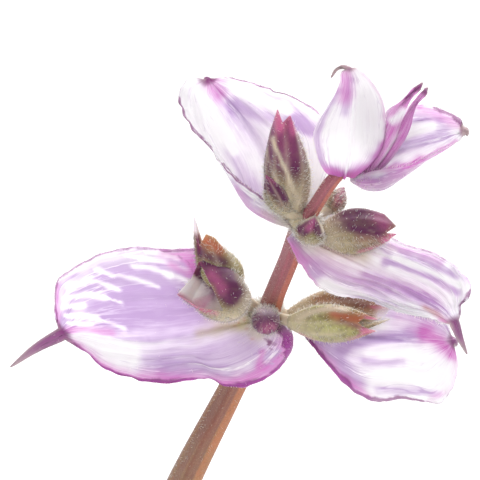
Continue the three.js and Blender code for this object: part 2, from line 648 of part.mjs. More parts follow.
// The closed top of a branch: two cupped bracts on its last joint, wrapped round the youngest buds
function closedTop(end, along, heading) {
  const foot = end.clone().addScaledVector(along, GAP + 0.7);
  const wrap = [0, 180].map((turn) => {
    const out = direction(heading + turn, 0);
    return blade({
      ...PLAIN_BRACT, base: foot.clone().addScaledVector(out, 0.7),
      aim: along.clone().addScaledVector(out, 0.62).normalize(), face: out.clone().negate(),
      length: 13, width: 9, bend: 30, cuspBend: -40, fold: 6, cup: 44, wave: 0, shortCusp: true,
    }, 3, SMALL_COLUMNS, BRACT_THICK);
  });
  return join([joint(foot, along, 1.7, 1.4, 0), ...wrap]);
}

// Finishes
const plain = (color, roughness) => new THREE.MeshStandardMaterial({ color, roughness, metalness: 0 });
const CLAY = plain(0xb5653f, 0.85);
const EARTH = plain(0x3a2a20, 0.95);
const STEM_SKIN = plain(0x9a6a60, 0.6);
const LEAF_GREEN = plain(0x6f8a52, 0.75);
const BRACT_LILAC = plain(0xd9b8e0, 0.6);
const BRACT_GREEN = plain(0xa9a48e, 0.65);
const CALYX_OLIVE = plain(0x7d7a45, 0.65);
const AWN_PINK = plain(0xc65fa0, 0.6);

const group = new THREE.Group();

function add(name, geometry, material) {
  const mesh = new THREE.Mesh(geometry, material);
  mesh.name = name;
  group.add(mesh);
}

// Assembly

const branchLines = BRANCHES.map(branchStations);
const stem = join([squareStem(MAIN), ...branchLines.map((line) => squareStem(line))]);
const stemSpace = join([squareStem(MAIN, GAP), ...branchLines.map((line) => squareStem(line, GAP))]);

add("pot", potGeometry(), CLAY);
add("soil", soilGeometry(stemSpace), EARTH);
add("stem", geometryOf(stem), STEM_SKIN);

LEAVES.forEach((l) => {
  const body = blade(leafSpec(l), l.blade > 60 ? 12 : 9, LEAF_COLUMNS, LEAF_THICK, LEAF_RIB);
  add(l.name, geometryOf(cut(solidOf(body), stemSpace)), LEAF_GREEN);
});

[["calyces_low", LOW_WHORL], ["calyces_mid", MID_WHORL]].forEach(([name, w]) => {
  add(name, geometryOf(cut(whorl(w), stemSpace)), CALYX_OLIVE);
});
const tipParts = (grow) => join([TIP_BUD, ...AWNS].map((s) => calyx({ ...s, grow })));
add("bractlets_tip", geometryOf(cut(tipParts(0), stemSpace)), AWN_PINK);

const whorlSpace = whorl(LOW_WHORL, GAP).add(whorl(MID_WHORL, GAP)).add(tipParts(GAP));
Object.entries(BRACTS).forEach(([name, spec]) => {
  const body = solidOf(blade(spec, 9, BRACT_COLUMNS, BRACT_THICK));
  add(name, geometryOf(cut(body, stemSpace, whorlSpace)), BRACT_LILAC);
});

// Bracts under the branches and at nodes C and D, each a piece of its own
const LOWER_BRACTS = [
  { name: "bract_branch_a1", node: "branchesA", heading: -10, rise: 22, length: 38, width: 27, material: BRACT_GREEN },
  { name: "bract_branch_a2", node: "branchesA", heading: 170, rise: 20, length: 38, width: 27, material: BRACT_GREEN },
  { name: "bract_branch_b1", node: "branchesB", heading: 80, rise: 20, length: 33, width: 25, material: BRACT_LILAC },
  { name: "bract_branch_b2", node: "branchesB", heading: 260, rise: 24, length: 33, width: 25, material: BRACT_LILAC },
  { name: "bract_c1", node: "nodeC", heading: -10, rise: 14, length: 31, width: 24, material: BRACT_LILAC },
  { name: "bract_c2", node: "nodeC", heading: 170, rise: 10, length: 31, width: 24, material: BRACT_LILAC },
  { name: "bract_d1", node: "nodeD", heading: 78, rise: -6, length: 28, width: 22, material: BRACT_LILAC },
  { name: "bract_d2", node: "nodeD", heading: 258, rise: 8, length: 29, width: 22, material: BRACT_LILAC },
];
LOWER_BRACTS.forEach((b) => {
  const centre = STATIONS[b.node].at.clone().addScaledVector(headingAt(b.node), -2.5);
  const spec = plainBract(centre, STATIONS[b.node].width * 0.45, b.heading, b.rise, b.length, b.width);
  const body = solidOf(blade(spec, 7, SMALL_COLUMNS, BRACT_THICK));
  add(b.name, geometryOf(cut(body, stemSpace)), b.material);
});

[["calyces_c", "nodeC", 3.4, 8.5], ["calyces_d", "nodeD", 3.2, 8]].forEach(([name, node, radius, length]) => {
  const along = headingAt(node);
  const even = evenWhorl(STATIONS[node].at.clone().addScaledVector(along, 1.6), along, radius, 4, 35, length);
  add(name, geometryOf(cut(whorl(even), stemSpace)), CALYX_OLIVE);
});

// Whorls and tops of the side branches
BRANCHES.forEach((b, n) => {
  const line = branchLines[n];
  const curve = new THREE.CatmullRomCurve3(line.map((s) => s.at), false, "centripetal");
  b.whorls.forEach((share, k) => {
    const centre = curve.getPoint(share);
    const along = curve.getTangent(share);
    const width = lerp(...b.width, share);
    const name = `branch${n + 1}_whorl${k + 1}`;
    const turn = b.heading + 90 * (k + 1);
    const calyces = evenWhorl(centre.clone().addScaledVector(along, 1.8), along, 0.7 * width + 1, 4, turn + 45, 7);
    add(`calyces_${name}`, geometryOf(cut(whorl(calyces), stemSpace)), CALYX_OLIVE);
    const ringCentre = centre.clone().addScaledVector(along, -2.8);
    const pair = [0, 180].map((flip) => {
      const spec = plainBract(ringCentre, 0.6 * width, turn + flip, 2, 19 - 2 * k, 15 - 2 * k);
      return blade({ ...spec, bend: -18, shortCusp: true }, 4, SMALL_COLUMNS, BRACT_THICK);
    });
    const ring = joint(ringCentre, along, 0.7 * width + 0.9, 1.2, 0);
    add(`bracts_${name}`, geometryOf(cut(join([ring, ...pair]), stemSpace)), BRACT_LILAC);
  });
  add(`top_branch${n + 1}`, geometryOf(cut(closedTop(curve.getPoint(1), curve.getTangent(1), b.heading + 90), stemSpace)),
    BRACT_LILAC);
});

export default group;
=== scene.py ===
"""Potted clary sage: the looks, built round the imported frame.

Lengths are in millimetres until a mesh is made.
"""
import math

import bpy
import numpy as np
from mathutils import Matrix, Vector


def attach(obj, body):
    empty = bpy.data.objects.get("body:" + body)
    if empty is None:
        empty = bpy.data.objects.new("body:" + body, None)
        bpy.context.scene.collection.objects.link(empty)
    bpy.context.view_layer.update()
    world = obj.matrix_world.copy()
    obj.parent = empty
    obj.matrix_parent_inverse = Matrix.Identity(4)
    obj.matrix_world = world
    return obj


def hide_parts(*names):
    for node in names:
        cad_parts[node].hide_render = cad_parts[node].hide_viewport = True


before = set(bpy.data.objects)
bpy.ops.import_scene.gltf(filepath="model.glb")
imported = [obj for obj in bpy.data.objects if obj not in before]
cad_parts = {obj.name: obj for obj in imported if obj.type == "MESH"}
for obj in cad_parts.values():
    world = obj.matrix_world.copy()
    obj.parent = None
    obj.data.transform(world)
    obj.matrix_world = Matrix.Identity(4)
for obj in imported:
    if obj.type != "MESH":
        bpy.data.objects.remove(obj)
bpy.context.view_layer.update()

bl_info = {
    "name": "Potted clary sage",
    "version": (1, 0, 0),
    "blender": (4, 5, 0),
    "location": "View3D > Sidebar > Clary sage",
    "description": "Builds a potted clary sage with papery bracts, hairy calyces and felted leaves",
    "category": "Add Mesh",
}

BODY = "root"
MM = 0.001
FULL_TURN = 2 * np.pi

# The photographed tip is laid out on a plane through its lowest node that leans back by this angle
SPRAY_TILT = math.radians(28)
NODE_1 = np.array([30.0, -12.0, 372.0])
RIGHT = np.array([1.0, 0.0, 0.0])
UP = np.array([0.0, math.sin(SPRAY_TILT), math.cos(SPRAY_TILT)])
OUT = np.array([0.0, -math.cos(SPRAY_TILT), math.sin(SPRAY_TILT)])
# The camera stands this far out of the plane, opposite this place on it
EYE_OUT = 400.0
EYE_RIGHT = -2.9
EYE_UP = 9.2
# The photograph's scale in millimetres for each pixel, and the pixel at which its lowest node stands
PIXEL = 0.115
NODE_ACROSS = 265
NODE_DOWN = 320

# Shape arithmetic


def unit(a):
    """Vectors divided by their lengths."""
    a = np.asarray(a, float)
    return a / np.maximum(np.linalg.norm(a, axis=-1, keepdims=True), 1e-12)


def smooth(x):
    """Nought up to 0, one from 1, and three squares less two cubes between."""
    x = np.clip(x, 0.0, 1.0)
    return x * x * (3 - 2 * x)


def bell(x, middle, spread):
    """e to the power of minus the square of the distance from the middle, in spreads."""
    return np.exp(-(((x - middle) / spread) ** 2))


def pleat(x, sharp=0.93):
    """A wave of period one with nearly straight flanks: the arc sine of a sine held just short of one."""
    return np.arcsin(sharp * np.sin(FULL_TURN * x)) / math.asin(sharp)


def turns(count):
    """Angles that share out a full turn."""
    return np.linspace(0, FULL_TURN, count, endpoint=False)


def level(turn):
    """Level headings of length one at given angles."""
    return np.stack([np.cos(turn), np.sin(turn), 0 * turn], -1)


def spray(right, up, out):
    """A step on the tip's plane: right along it, up it and out of it."""
    return right * RIGHT + up * UP + out * OUT


def on_spray(right, up, out):
    """A place on the tip's plane, from its lowest node."""
    return NODE_1 + spray(right, up, out)


def on_plane(places):
    """Places in pixels across and down the photograph, as tenths of millimetres right and up on the tip's
    plane. A third number stays as it is."""
    return [
        (round((across - NODE_ACROSS) * PIXEL, 1), round((NODE_DOWN - down) * PIXEL, 1), *out)
        for across, down, *out in places
    ]


def seen(places):
    """Places given by where the photograph shows them and by how far they stand out of the tip's plane. What
    is nearer to the eye by a share of its distance is drawn in towards the view's middle by as much."""
    right, up, out = np.moveaxis(np.array(on_plane(places), float), -1, 0)
    share = 1 - out / EYE_OUT
    across = (EYE_RIGHT + (right - EYE_RIGHT) * share)[..., None]
    along = (EYE_UP + (up - EYE_UP) * share)[..., None]
    return NODE_1 + across * RIGHT + along * UP + out[..., None] * OUT


def sight(points):
    """Where places are seen on the tip's plane: the reverse of the above."""
    step = points - NODE_1
    share = 1 - step @ OUT / EYE_OUT
    right = EYE_RIGHT + (step @ RIGHT - EYE_RIGHT) / share
    up = EYE_UP + (step @ UP - EYE_UP) / share
    return np.stack([right, up], -1)


def direction(heading, rise):
    """A level heading turned up by a rise, both in degrees."""
    level_part = math.cos(math.radians(rise))
    turn = math.radians(heading)
    return np.array([level_part * math.cos(turn), level_part * math.sin(turn), math.sin(math.radians(rise))])


def square_to(a, axis):
    """The part of a vector at right angles to an axis, made a unit vector."""
    return unit(a - axis * np.sum(a * axis, axis=-1, keepdims=True))


def curve_points(knots, t):
    """A centripetal Catmull-Rom curve at shares t of its knots: between two knots it is the cubic whose
    slopes at both ends come from the neighbours, weighed by the fourth roots of the squared distances."""
    p = np.asarray(knots, float)
    p = np.vstack([2 * p[0] - p[1], p, 2 * p[-1] - p[-2]])
    spans = len(knots) - 1
    x = np.clip(np.asarray(t, float), 0, 1) * spans
    i = np.minimum(np.floor(x).astype(int), spans - 1)
    w = (x - i)[..., None]
    a, b, c, d = (p[i + k] for k in range(4))
    root = [np.sum((n - m) ** 2, axis=-1, keepdims=True) ** 0.25 for m, n in ((a, b), (b, c), (c, d))]
    before, here, after = root
    start = here * ((b - a) / before - (c - a) / (before + here) + (c - b) / here)
    end = here * ((c - b) / here - (d - b) / (here + after) + (d - c) / after)
    return b + w * start + w**2 * (3 * (c - b) - 2 * start - end) + w**3 * (2 * (b - c) + start + end)


def even_curve(knots, share):
    """A curve by equal shares of its length, which is the running sum of its small steps."""
    t = np.linspace(0, 1, 600)
    steps = np.linalg.norm(np.diff(curve_points(knots, t), axis=0), axis=1)
    far = np.concatenate([[0], np.cumsum(steps)])
    return curve_points(knots, np.interp(share * far[-1], far, t))


def curve_heading(knots, t):
    """The curve's direction: the difference of two places on it that are close together."""
    t = np.asarray(t, float)
    step = 1e-4
    return unit(curve_points(knots, np.minimum(t + step, 1)) - curve_points(knots, np.maximum(t - step, 0)))


def grid_normals(points):
    """Normals of a grid of points: its row step crossed with its column step."""
    return unit(np.cross(np.gradient(points, axis=0), np.gradient(points, axis=1)))


def wrapped(rings):
    """Rings with their first column again after their last."""
    return np.concatenate([rings, rings[:, :1]], axis=1)


def ring_normals(rings):
    """Normals of wrapped rings, turned away from the rings' middles."""
    normals = grid_normals(rings)
    return normals * np.sign(np.sum(normals * (rings - rings.mean(axis=1, keepdims=True))))


# Meshes


def make_object(name, points, faces, data=None):
    """A mesh object at the origin from points in millimetres. Its faces are turned outwards by the sign of
    its volume, which is the sum of each triangle's triple product."""
    points = np.asarray(points, float)
    triangles = np.vstack([np.vstack([f[:, [0, k, k + 1]] for k in range(1, f.shape[1] - 1)]) for f in faces])
    a, b, c = (points[triangles[:, k]] for k in range(3))
    if np.sum(a * np.cross(b, c)) < 0:
        faces = [f[:, ::-1] for f in faces]
    mesh = bpy.data.meshes.new(name)
    mesh.from_pydata((points * MM).tolist(), [], [row for f in faces for row in f.tolist()])
    for key, values in (data or {}).items():
        layer = mesh.attributes.new(key, "FLOAT_VECTOR", "POINT")
        layer.data.foreach_set("vector", np.asarray(values, np.float32).ravel())
    mesh.shade_smooth()
    shape = bpy.data.objects.new(name, mesh)
    bpy.context.scene.collection.objects.link(shape)
    return shape


def grid_faces(rows, columns, wrap=False):
    """Four-sided faces of a grid whose points are numbered row by row. A wrapped grid's last column meets its
    first."""
    i, j = np.meshgrid(np.arange(rows - 1), np.arange(columns if wrap else columns - 1), indexing="ij")
    a = i * columns + j
    b = i * columns + (j + 1) % columns
    return np.stack([a, b, b + columns, a + columns], -1).reshape(-1, 4)


def sheet_shape(upper, under):
    """Two equal grids as one thin closed body: both skins, and a strip that joins them round the edge."""
    rows, columns = upper.shape[:2]
    count = rows * columns
    index = np.arange(count).reshape(rows, columns)
    loop = np.concatenate([index[0, :-1], index[:-1, -1], index[-1, :0:-1], index[:0:-1, 0]])
    after = np.roll(loop, -1)
    faces = grid_faces(rows, columns)
    strip = np.stack([after, loop, loop + count, after + count], -1)
    return np.vstack([upper.reshape(-1, 3), under.reshape(-1, 3)]), [faces, faces[:, ::-1] + count, strip]


def end_caps(count, sides):
    """Triangles that close the first and the last of some rings round the two middle points after them."""
    k = np.arange(sides)
    after = (k + 1) % sides
    top = (count - 1) * sides
    first = np.full(sides, count * sides)
    return np.vstack([np.stack([after, k, first], -1), np.stack([top + k, top + after, first + 1], -1)])


def tube_shape(rings):
    """Rings of points as one closed body, with a point in the middle of the first ring and of the last."""
    count, sides = rings.shape[:2]
    points = np.vstack([rings.reshape(-1, 3), rings[0].mean(0), rings[-1].mean(0)])
    return points, [grid_faces(count, sides, wrap=True), end_caps(count, sides)]


def turned(profile, turn):
    """Rings about the upright axis, from radii and heights."""
    radius, height = np.asarray(profile, float).T[..., None, None]
    return radius * level(turn) + height * np.array([0, 0, 1.0])


class Shape:
    """Points, faces and attributes of several closed bodies, gathered into one piece."""

    def __init__(self):
        self.points, self.faces, self.data, self.count = [], {}, {}, 0

    def add(self, shape, **data):
        """Adds a body's points and faces, and attributes for each point or alike for all."""
        points, faces = shape
        for f in faces:
            self.faces.setdefault(f.shape[1], []).append(f + self.count)
        self.points.append(points)
        self.count += len(points)
        for key, values in data.items():
            self.data.setdefault(key, []).append(np.broadcast_to(values, points.shape))
        return self

    def add_tube(self, rings, **data):
        """Adds a closed body of rings. Attributes are given as rings too, or alike for all."""
        for key, values in data.items():
            grid = np.broadcast_to(values, rings.shape)
            data[key] = np.vstack([grid.reshape(-1, 3), grid[0, :1], grid[-1, :1]])
        return self.add(tube_shape(rings), **data)

    def add_sheet(self, u, v, upper, under, **data):
        """Adds a thin closed sheet with its u, v and side, and attributes that both of its skins share."""
        blade = np.column_stack([np.tile(u.ravel(), 2), np.tile(v.ravel(), 2), np.repeat([0.0, 1.0], u.size)])
        shared = {key: np.tile(values.reshape(-1, 3), (2, 1)) for key, values in data.items()}
        return self.add(sheet_shape(upper, under), blade=blade, **shared)

    def object(self, name):
        """The gathered bodies as one object."""
        faces = [np.vstack(f) for f in self.faces.values()]
        data = {key: np.vstack(values) for key, values in self.data.items()}
        return make_object(name, np.vstack(self.points), faces, data)


def place(shape, finish, slot, *nodes):
    """Dresses a piece, lets it ride and hides the frame nodes it stands for."""
    shape.data.materials.append(finish)
    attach(shape, BODY)
    if nodes:
        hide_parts(*nodes)
    return shape


# Blades: leaves and bracts

BLADE = {
    "stalk": 0.0, "stalk_half": 0.0, "cusp_at": 1.0, "cusp_bend": 0.0, "bend_power": 1.0, "lobe": 0.0,
    "lobe_at": 0.1, "scallop": 0.0, "scallops": 1.0,
}
FOLD_FADE = 0.3
EDGE_HALF = 0.03
STALK_ROWS = 10
BLADE_CUSP_ROWS = 14


def past_cusp(s, u):
    """Nought on the body and one at the cusp's very tip."""
    return np.clip((u - s["cusp_at"]) / max(1e-6, 1 - s["cusp_at"]), 0, 1)


def midrib(s, u):
    """The midrib at shares u of its length: place, heading, side and normal. The heading pitches by the bend
    times a power of u and by the cusp's own bend; places are its running sum."""
    steps = 240
    aim = unit(s["aim"])
    face = square_to(np.asarray(s["face"], float), aim)
    side = np.cross(face, aim)

    def heading(t):
        bend = s["bend"] * t ** s["bend_power"] + s["cusp_bend"] * smooth(past_cusp(s, t))
        pitch = np.radians(bend)[..., None]
        return aim * np.cos(pitch) + face * np.sin(pitch)

    middles = heading((np.arange(steps) + 0.5) / steps) * s["length"] / steps
    places = np.vstack([np.zeros(3), np.cumsum(middles, axis=0)]) + s["base"]
    shares = np.linspace(0, 1, steps + 1)
    spot = np.stack([np.interp(u, shares, places[:, k]) for k in range(3)], -1)
    along = unit(heading(u))
    across = square_to(side, along)
    return spot, along, across, np.cross(along, across)


def half_outline(s, q):
    """Half width as a share of the most: a power of a quarter sine up to the widest place, and from there one
    less a power of the distance, itself to a power."""
    wide, foot = s["wide"], s["at_base"]
    grow = foot + (1 - foot) * np.sin(np.pi / 2 * np.clip(q / wide, 0, 1)) ** s["rise"]
    fall = np.clip((q - wide) / (1 - wide), 0, 1) ** s["point"]
    return np.where(q < wide, grow, np.clip(1 - fall, 0, 1) ** s["blunt"])


def blade_points(s, u, v):
    """Places on a blade, u from foot to tip and v from -1 at the left edge to 1 at the right. Each half
    leaves the midrib at its fold angle and follows an arc of its cup angle; lobes pull it back past the
    foot, and a wave lifts its edge."""
    spot, along, across, normal = midrib(s, u)
    q = np.clip((u - s["stalk"]) / (s["cusp_at"] - s["stalk"]), 0, 1)
    past = past_cusp(s, u)
    body = np.where(u < s["stalk"] - 1e-9, 0, s["width"] / 2 * half_outline(s, q))
    body = body * (1 + s["scallop"] * np.cos(FULL_TURN * s["scallops"] * q))
    half = body + s["stalk_half"] * (1 - q) + s["cusp_half"] * q**8 * (1 - past)
    half = half + 0.12 * (1 - past) + EDGE_HALF
    a = np.abs(v)
    cup = math.radians(s["cup"])
    fold = np.radians(s["fold"] * (1 - FOLD_FADE * u))
    out = half * (np.sin(fold + cup * a) - np.sin(fold)) / cup
    up = half * (np.cos(fold) - np.cos(fold + cup * a)) / cup
    back = s["lobe"] * s["length"] * a**1.6 * q / s["lobe_at"] * np.exp(1 - q / s["lobe_at"])
    swell = np.clip(np.sin(np.pi * np.clip(u / s["cusp_at"], 0, 1)), 0, 1) ** 0.5
    wave = s["wave"] * a**2.5 * np.sin(FULL_TURN * s["waves"] * u + np.where(v < 0, 1.3, 0)) * swell
    points = spot + across * (np.sign(v) * out)[..., None] + normal * (up + wave)[..., None]
    return points - along * back[..., None]


def blade_grid(s, rows, columns):
    """Shares u and v of a blade's grid: rows close together at the foot and along the cusp, columns even."""
    t = np.linspace(0, 1, rows)
    parts = [s["stalk"] + (s["cusp_at"] - s["stalk"]) * t * (1 - 0.45 * (1 - t) ** 2)]
    if s["stalk"] > 0:
        parts.insert(0, np.linspace(0, s["stalk"], STALK_ROWS)[:-1])
    if s["cusp_at"] < 1:
        parts.append(np.linspace(s["cusp_at"], 1, BLADE_CUSP_ROWS)[1:])
    return np.meshgrid(np.concatenate(parts), np.linspace(-1, 1, columns), indexing="ij")


def painted(u, v, patches):
    """Five tints over a blade, each a sum of bells in u and v, held between nought and one."""
    tints = np.zeros(u.shape + (5,))
    for tint, at_u, at_v, spread_u, spread_v, strength in patches:
        tints[..., tint] += strength * bell(u, at_u, spread_u) * bell(v, at_v, spread_v)
    return np.clip(tints, 0, 1)


def stroke_tints(points, strokes):
    """Five tints over places: each stroke is a broken line on the tip's plane, and its tint falls off as a
    bell of the distance from the nearest part of that line, whose width waves to and fro."""
    at = sight(points)
    wave = np.sin(2.1 * at[..., 0] + 1.3 * at[..., 1]) * np.sin(0.8 * at[..., 0] - 2.7 * at[..., 1] + 1)
    tints = np.zeros(points.shape[:-1] + (5,))
    for tint, pixels, strength, places in strokes:
        width = round(pixels * PIXEL, 2)
        line = np.array(on_plane([*places, places[-1]]), float)
        gap = np.full(points.shape[:-1], np.inf)
        for start, end in zip(line, line[1:]):
            step = end - start
            share = np.clip((at - start) @ step / max(step @ step, 1e-9), 0, 1)[..., None]
            gap = np.minimum(gap, np.linalg.norm(at - start - share * step, axis=-1))
        tints[..., tint] += strength * bell(gap * (1 + wave * min(0.35, 0.1 / width)), 0, width)
    return tints


# Hairs, each kind with its length, its radius at the root and the radius of its bead

STEM_DOWN = (0.42, 0.02, 0)
STEM_GLAND = (0.2, 0.03, 0.08)
MARGIN_HAIR = (0.42, 0.02, 0)
FOOT_HAIR = (0.6, 0.02, 0)
NODE_WOOL = (1.1, 0.03, 0)
CUP_GLAND = (0.44, 0.028, 0.06)
CUP_HAIR = (0.4125, 0.03, 0)
CALYX_GLAND = (0.55, 0.022, 0.045)
BUD_GLAND = (0.4, 0.022, 0.045)


def scatter(rng, points, normals, count, weight=None):
    """Random spots on a grid surface, as likely as each face is large and its weight says, with normals."""
    rows, columns = points.shape[:2]
    corner = points[:-1, :-1]
    area = np.linalg.norm(np.cross(points[1:, :-1] - corner, points[:-1, 1:] - corner), axis=-1)
    if weight is not None:
        area = area * np.clip(weight[:-1, :-1], 0, None)
    chance = area.ravel() / area.sum()
    pick = rng.choice(chance.size, size=count, p=chance)
    i, j = np.unravel_index(pick, (rows - 1, columns - 1))
    x, y = rng.random((2, count, 1))

    def blend(grid):
        near = grid[i, j] * (1 - x) + grid[i + 1, j] * x
        far = grid[i, j + 1] * (1 - x) + grid[i + 1, j + 1] * x
        return near * (1 - y) + far * y

    return blend(points), unit(blend(normals))


def hair_shape(rng, roots, heads, length, radius, bead):
    """Hairs as three-sided cones. Each leaves its root along its heading and bends by a quarter times the
    square of the way along it; a glandular one swells to a bead just short of its tip."""
    count = len(roots)
    heads = unit(heads + rng.normal(0, 0.22, (count, 3)))
    length = length * rng.uniform(0.6, 1.25, (count, 1, 1))
    side = square_to(rng.normal(0, 1, (count, 3)), heads)
    other = np.cross(heads, side)
    bend = side * 0.25 * rng.uniform(-1, 1, (count, 1))
    steps = np.array([-0.05, 0.5, 0.86, 0.95] if bead else [-0.05, 0.5])
    widths = np.array([radius, radius * 0.6, radius * 0.35, bead])[: len(steps)]
    way = steps[:, None]
    spine = roots[:, None] + length * (heads[:, None] * way + bend[:, None] * way**2)
    angle = turns(3)[None, :, None]
    ring = side[:, None] * np.cos(angle) + other[:, None] * np.sin(angle)
    rings = spine[:, :, None] + ring[:, None] * widths[:, None, None]
    tip = roots + length[:, 0] * (heads + bend)
    size = 3 * len(steps)
    points = np.concatenate([rings.reshape(count, size, 3), tip[:, None]], axis=1)
    a, b, c = range(size - 3, size)
    caps = np.array([[1, 0, 2], [a, b, size], [b, c, size], [c, a, size]])
    start = (np.arange(count) * (size + 1))[:, None, None]
    share = np.append(np.repeat(steps, 3), 1.0) if bead else np.zeros(size + 1)
    chance = np.repeat(rng.random(count), size + 1)
    data = np.stack([np.tile(share, count), chance, 0 * chance], -1)
    sides = (grid_faces(len(steps), 3, wrap=True) + start).reshape(-1, 4)
    return (points.reshape(-1, 3), [sides, (caps + start).reshape(-1, 3)]), data


def grow_hairs(hairs, rng, points, heads, count, kind, weight=None):
    """Adds hairs of one kind, scattered over a grid surface, to those made before."""
    hairs.append(hair_shape(rng, *scatter(rng, points, heads, count, weight), *kind))


# Finishes


class Value:
    """A shader socket that takes part in sums, so that an expression adds its Math nodes."""

    def __init__(self, finish, socket):
        self.finish = finish
        self.socket = socket

    def math(self, operation, first, second=0.0, clamp=False):
        """A Math node on two values."""
        settings = {"operation": operation, "use_clamp": clamp}
        return self.finish.node("ShaderNodeMath", settings, {0: first, 1: second})

    def __add__(self, other):
        return self.math("ADD", self, other)

    def __sub__(self, other):
        return self.math("SUBTRACT", self, other)

    def __rsub__(self, other):
        return self.math("SUBTRACT", other, self)

    def __mul__(self, other):
        return self.math("MULTIPLY", self, other)

    def __abs__(self):
        return self.math("ABSOLUTE", self)

    __radd__ = __add__
    __rmul__ = __mul__

    def limit(self):
        """The value held between nought and one."""
        return self.math("ADD", self, clamp=True)


class Finish:
    """The nodes of a material or of the surround, in the making."""

    def __init__(self, owner):
        self.owner = owner
        self.owner.use_nodes = True
        self.tree = owner.node_tree
        self.tree.nodes.clear()

    @staticmethod
    def find(sockets, key):
        """A socket by its number, or by its identifier or name."""
        if isinstance(key, int):
            return sockets[key]
        return next(s for s in sockets if key in (s.identifier, s.name))

    def node(self, kind, settings=None, values=None, output=0):
        """Adds a node of a type, sets it up, gives its sockets values or links, and returns one output."""
        node = self.tree.nodes.new(kind)
        for key, setting in (settings or {}).items():
            setattr(node, key, setting)
        for key, value in (values or {}).items():
            socket = self.find(node.inputs, key)
            if isinstance(value, Value):
                self.tree.links.new(value.socket, socket)
            else:
                socket.default_value = (*value, 1.0) if socket.type == "RGBA" else value
        return Value(self, self.find(node.outputs, output))

    def split(self, vector):
        """The three numbers of a vector."""
        first = self.node("ShaderNodeSeparateXYZ", {}, {0: vector})
        return [Value(self, socket) for socket in first.socket.node.outputs]

    def attribute(self, name):
        """The three numbers of a point attribute."""
        return self.split(self.node("ShaderNodeAttribute", {"attribute_name": name}, output="Vector"))

    def place(self):
        """Object coordinates, in millimetres."""
        spot = self.node("ShaderNodeTexCoord", output="Object")
        return self.node("ShaderNodeVectorMath", {"operation": "SCALE"}, {0: spot, "Scale": 1 / MM})

    def vector(self, x, y, z=0.0):
        """A vector of three numbers."""
        return self.node("ShaderNodeCombineXYZ", {}, {0: x, 1: y, 2: z})

    def noise(self, vector, scale, detail=2.0, roughness=0.5):
        """Cloudy noise from nought to one."""
        values = {"Vector": vector, "Scale": scale, "Detail": detail, "Roughness": roughness}
        return self.node("ShaderNodeTexNoise", {}, values)

    def cells(self, vector, scale, feature="F1"):
        """Distance from the nearest cell's middle, or from its edge."""
        values = {"Vector": vector, "Scale": scale}
        return self.node("ShaderNodeTexVoronoi", {"feature": feature}, values, output="Distance")

    def ramp(self, value, low, high):
        """Nought below one value, one above the other, and a smooth step between."""
        settings = {"interpolation_type": "SMOOTHSTEP"}
        return self.node("ShaderNodeMapRange", settings, {0: value, 1: low, 2: high})

    def mix(self, factor, first, second):
        """The first colour, turned into the second by a factor that is held between nought and one."""
        settings = {"data_type": "RGBA", "clamp_factor": True}
        values = {"Factor_Float": factor, "A_Color": first, "B_Color": second}
        return self.node("ShaderNodeMix", settings, values, output="Result_Color")

    def bump(self, height, distance, strength):
        """A normal tilted by a height."""
        values = {"Height": height, "Distance": distance, "Strength": strength}
        return self.node("ShaderNodeBump", {}, values)

    def skin(self, **values):
        """A Principled shader; a value's name has underscores for spaces."""
        return self.node("ShaderNodeBsdfPrincipled", {}, {k.replace("_", " "): v for k, v in values.items()})

    def done(self, shader, end="ShaderNodeOutputMaterial"):
        """Joins the shader to the output and returns the owner."""
        output = self.tree.nodes.new(end)
        self.tree.links.new(shader.socket, output.inputs["Surface"])
        return self.owner


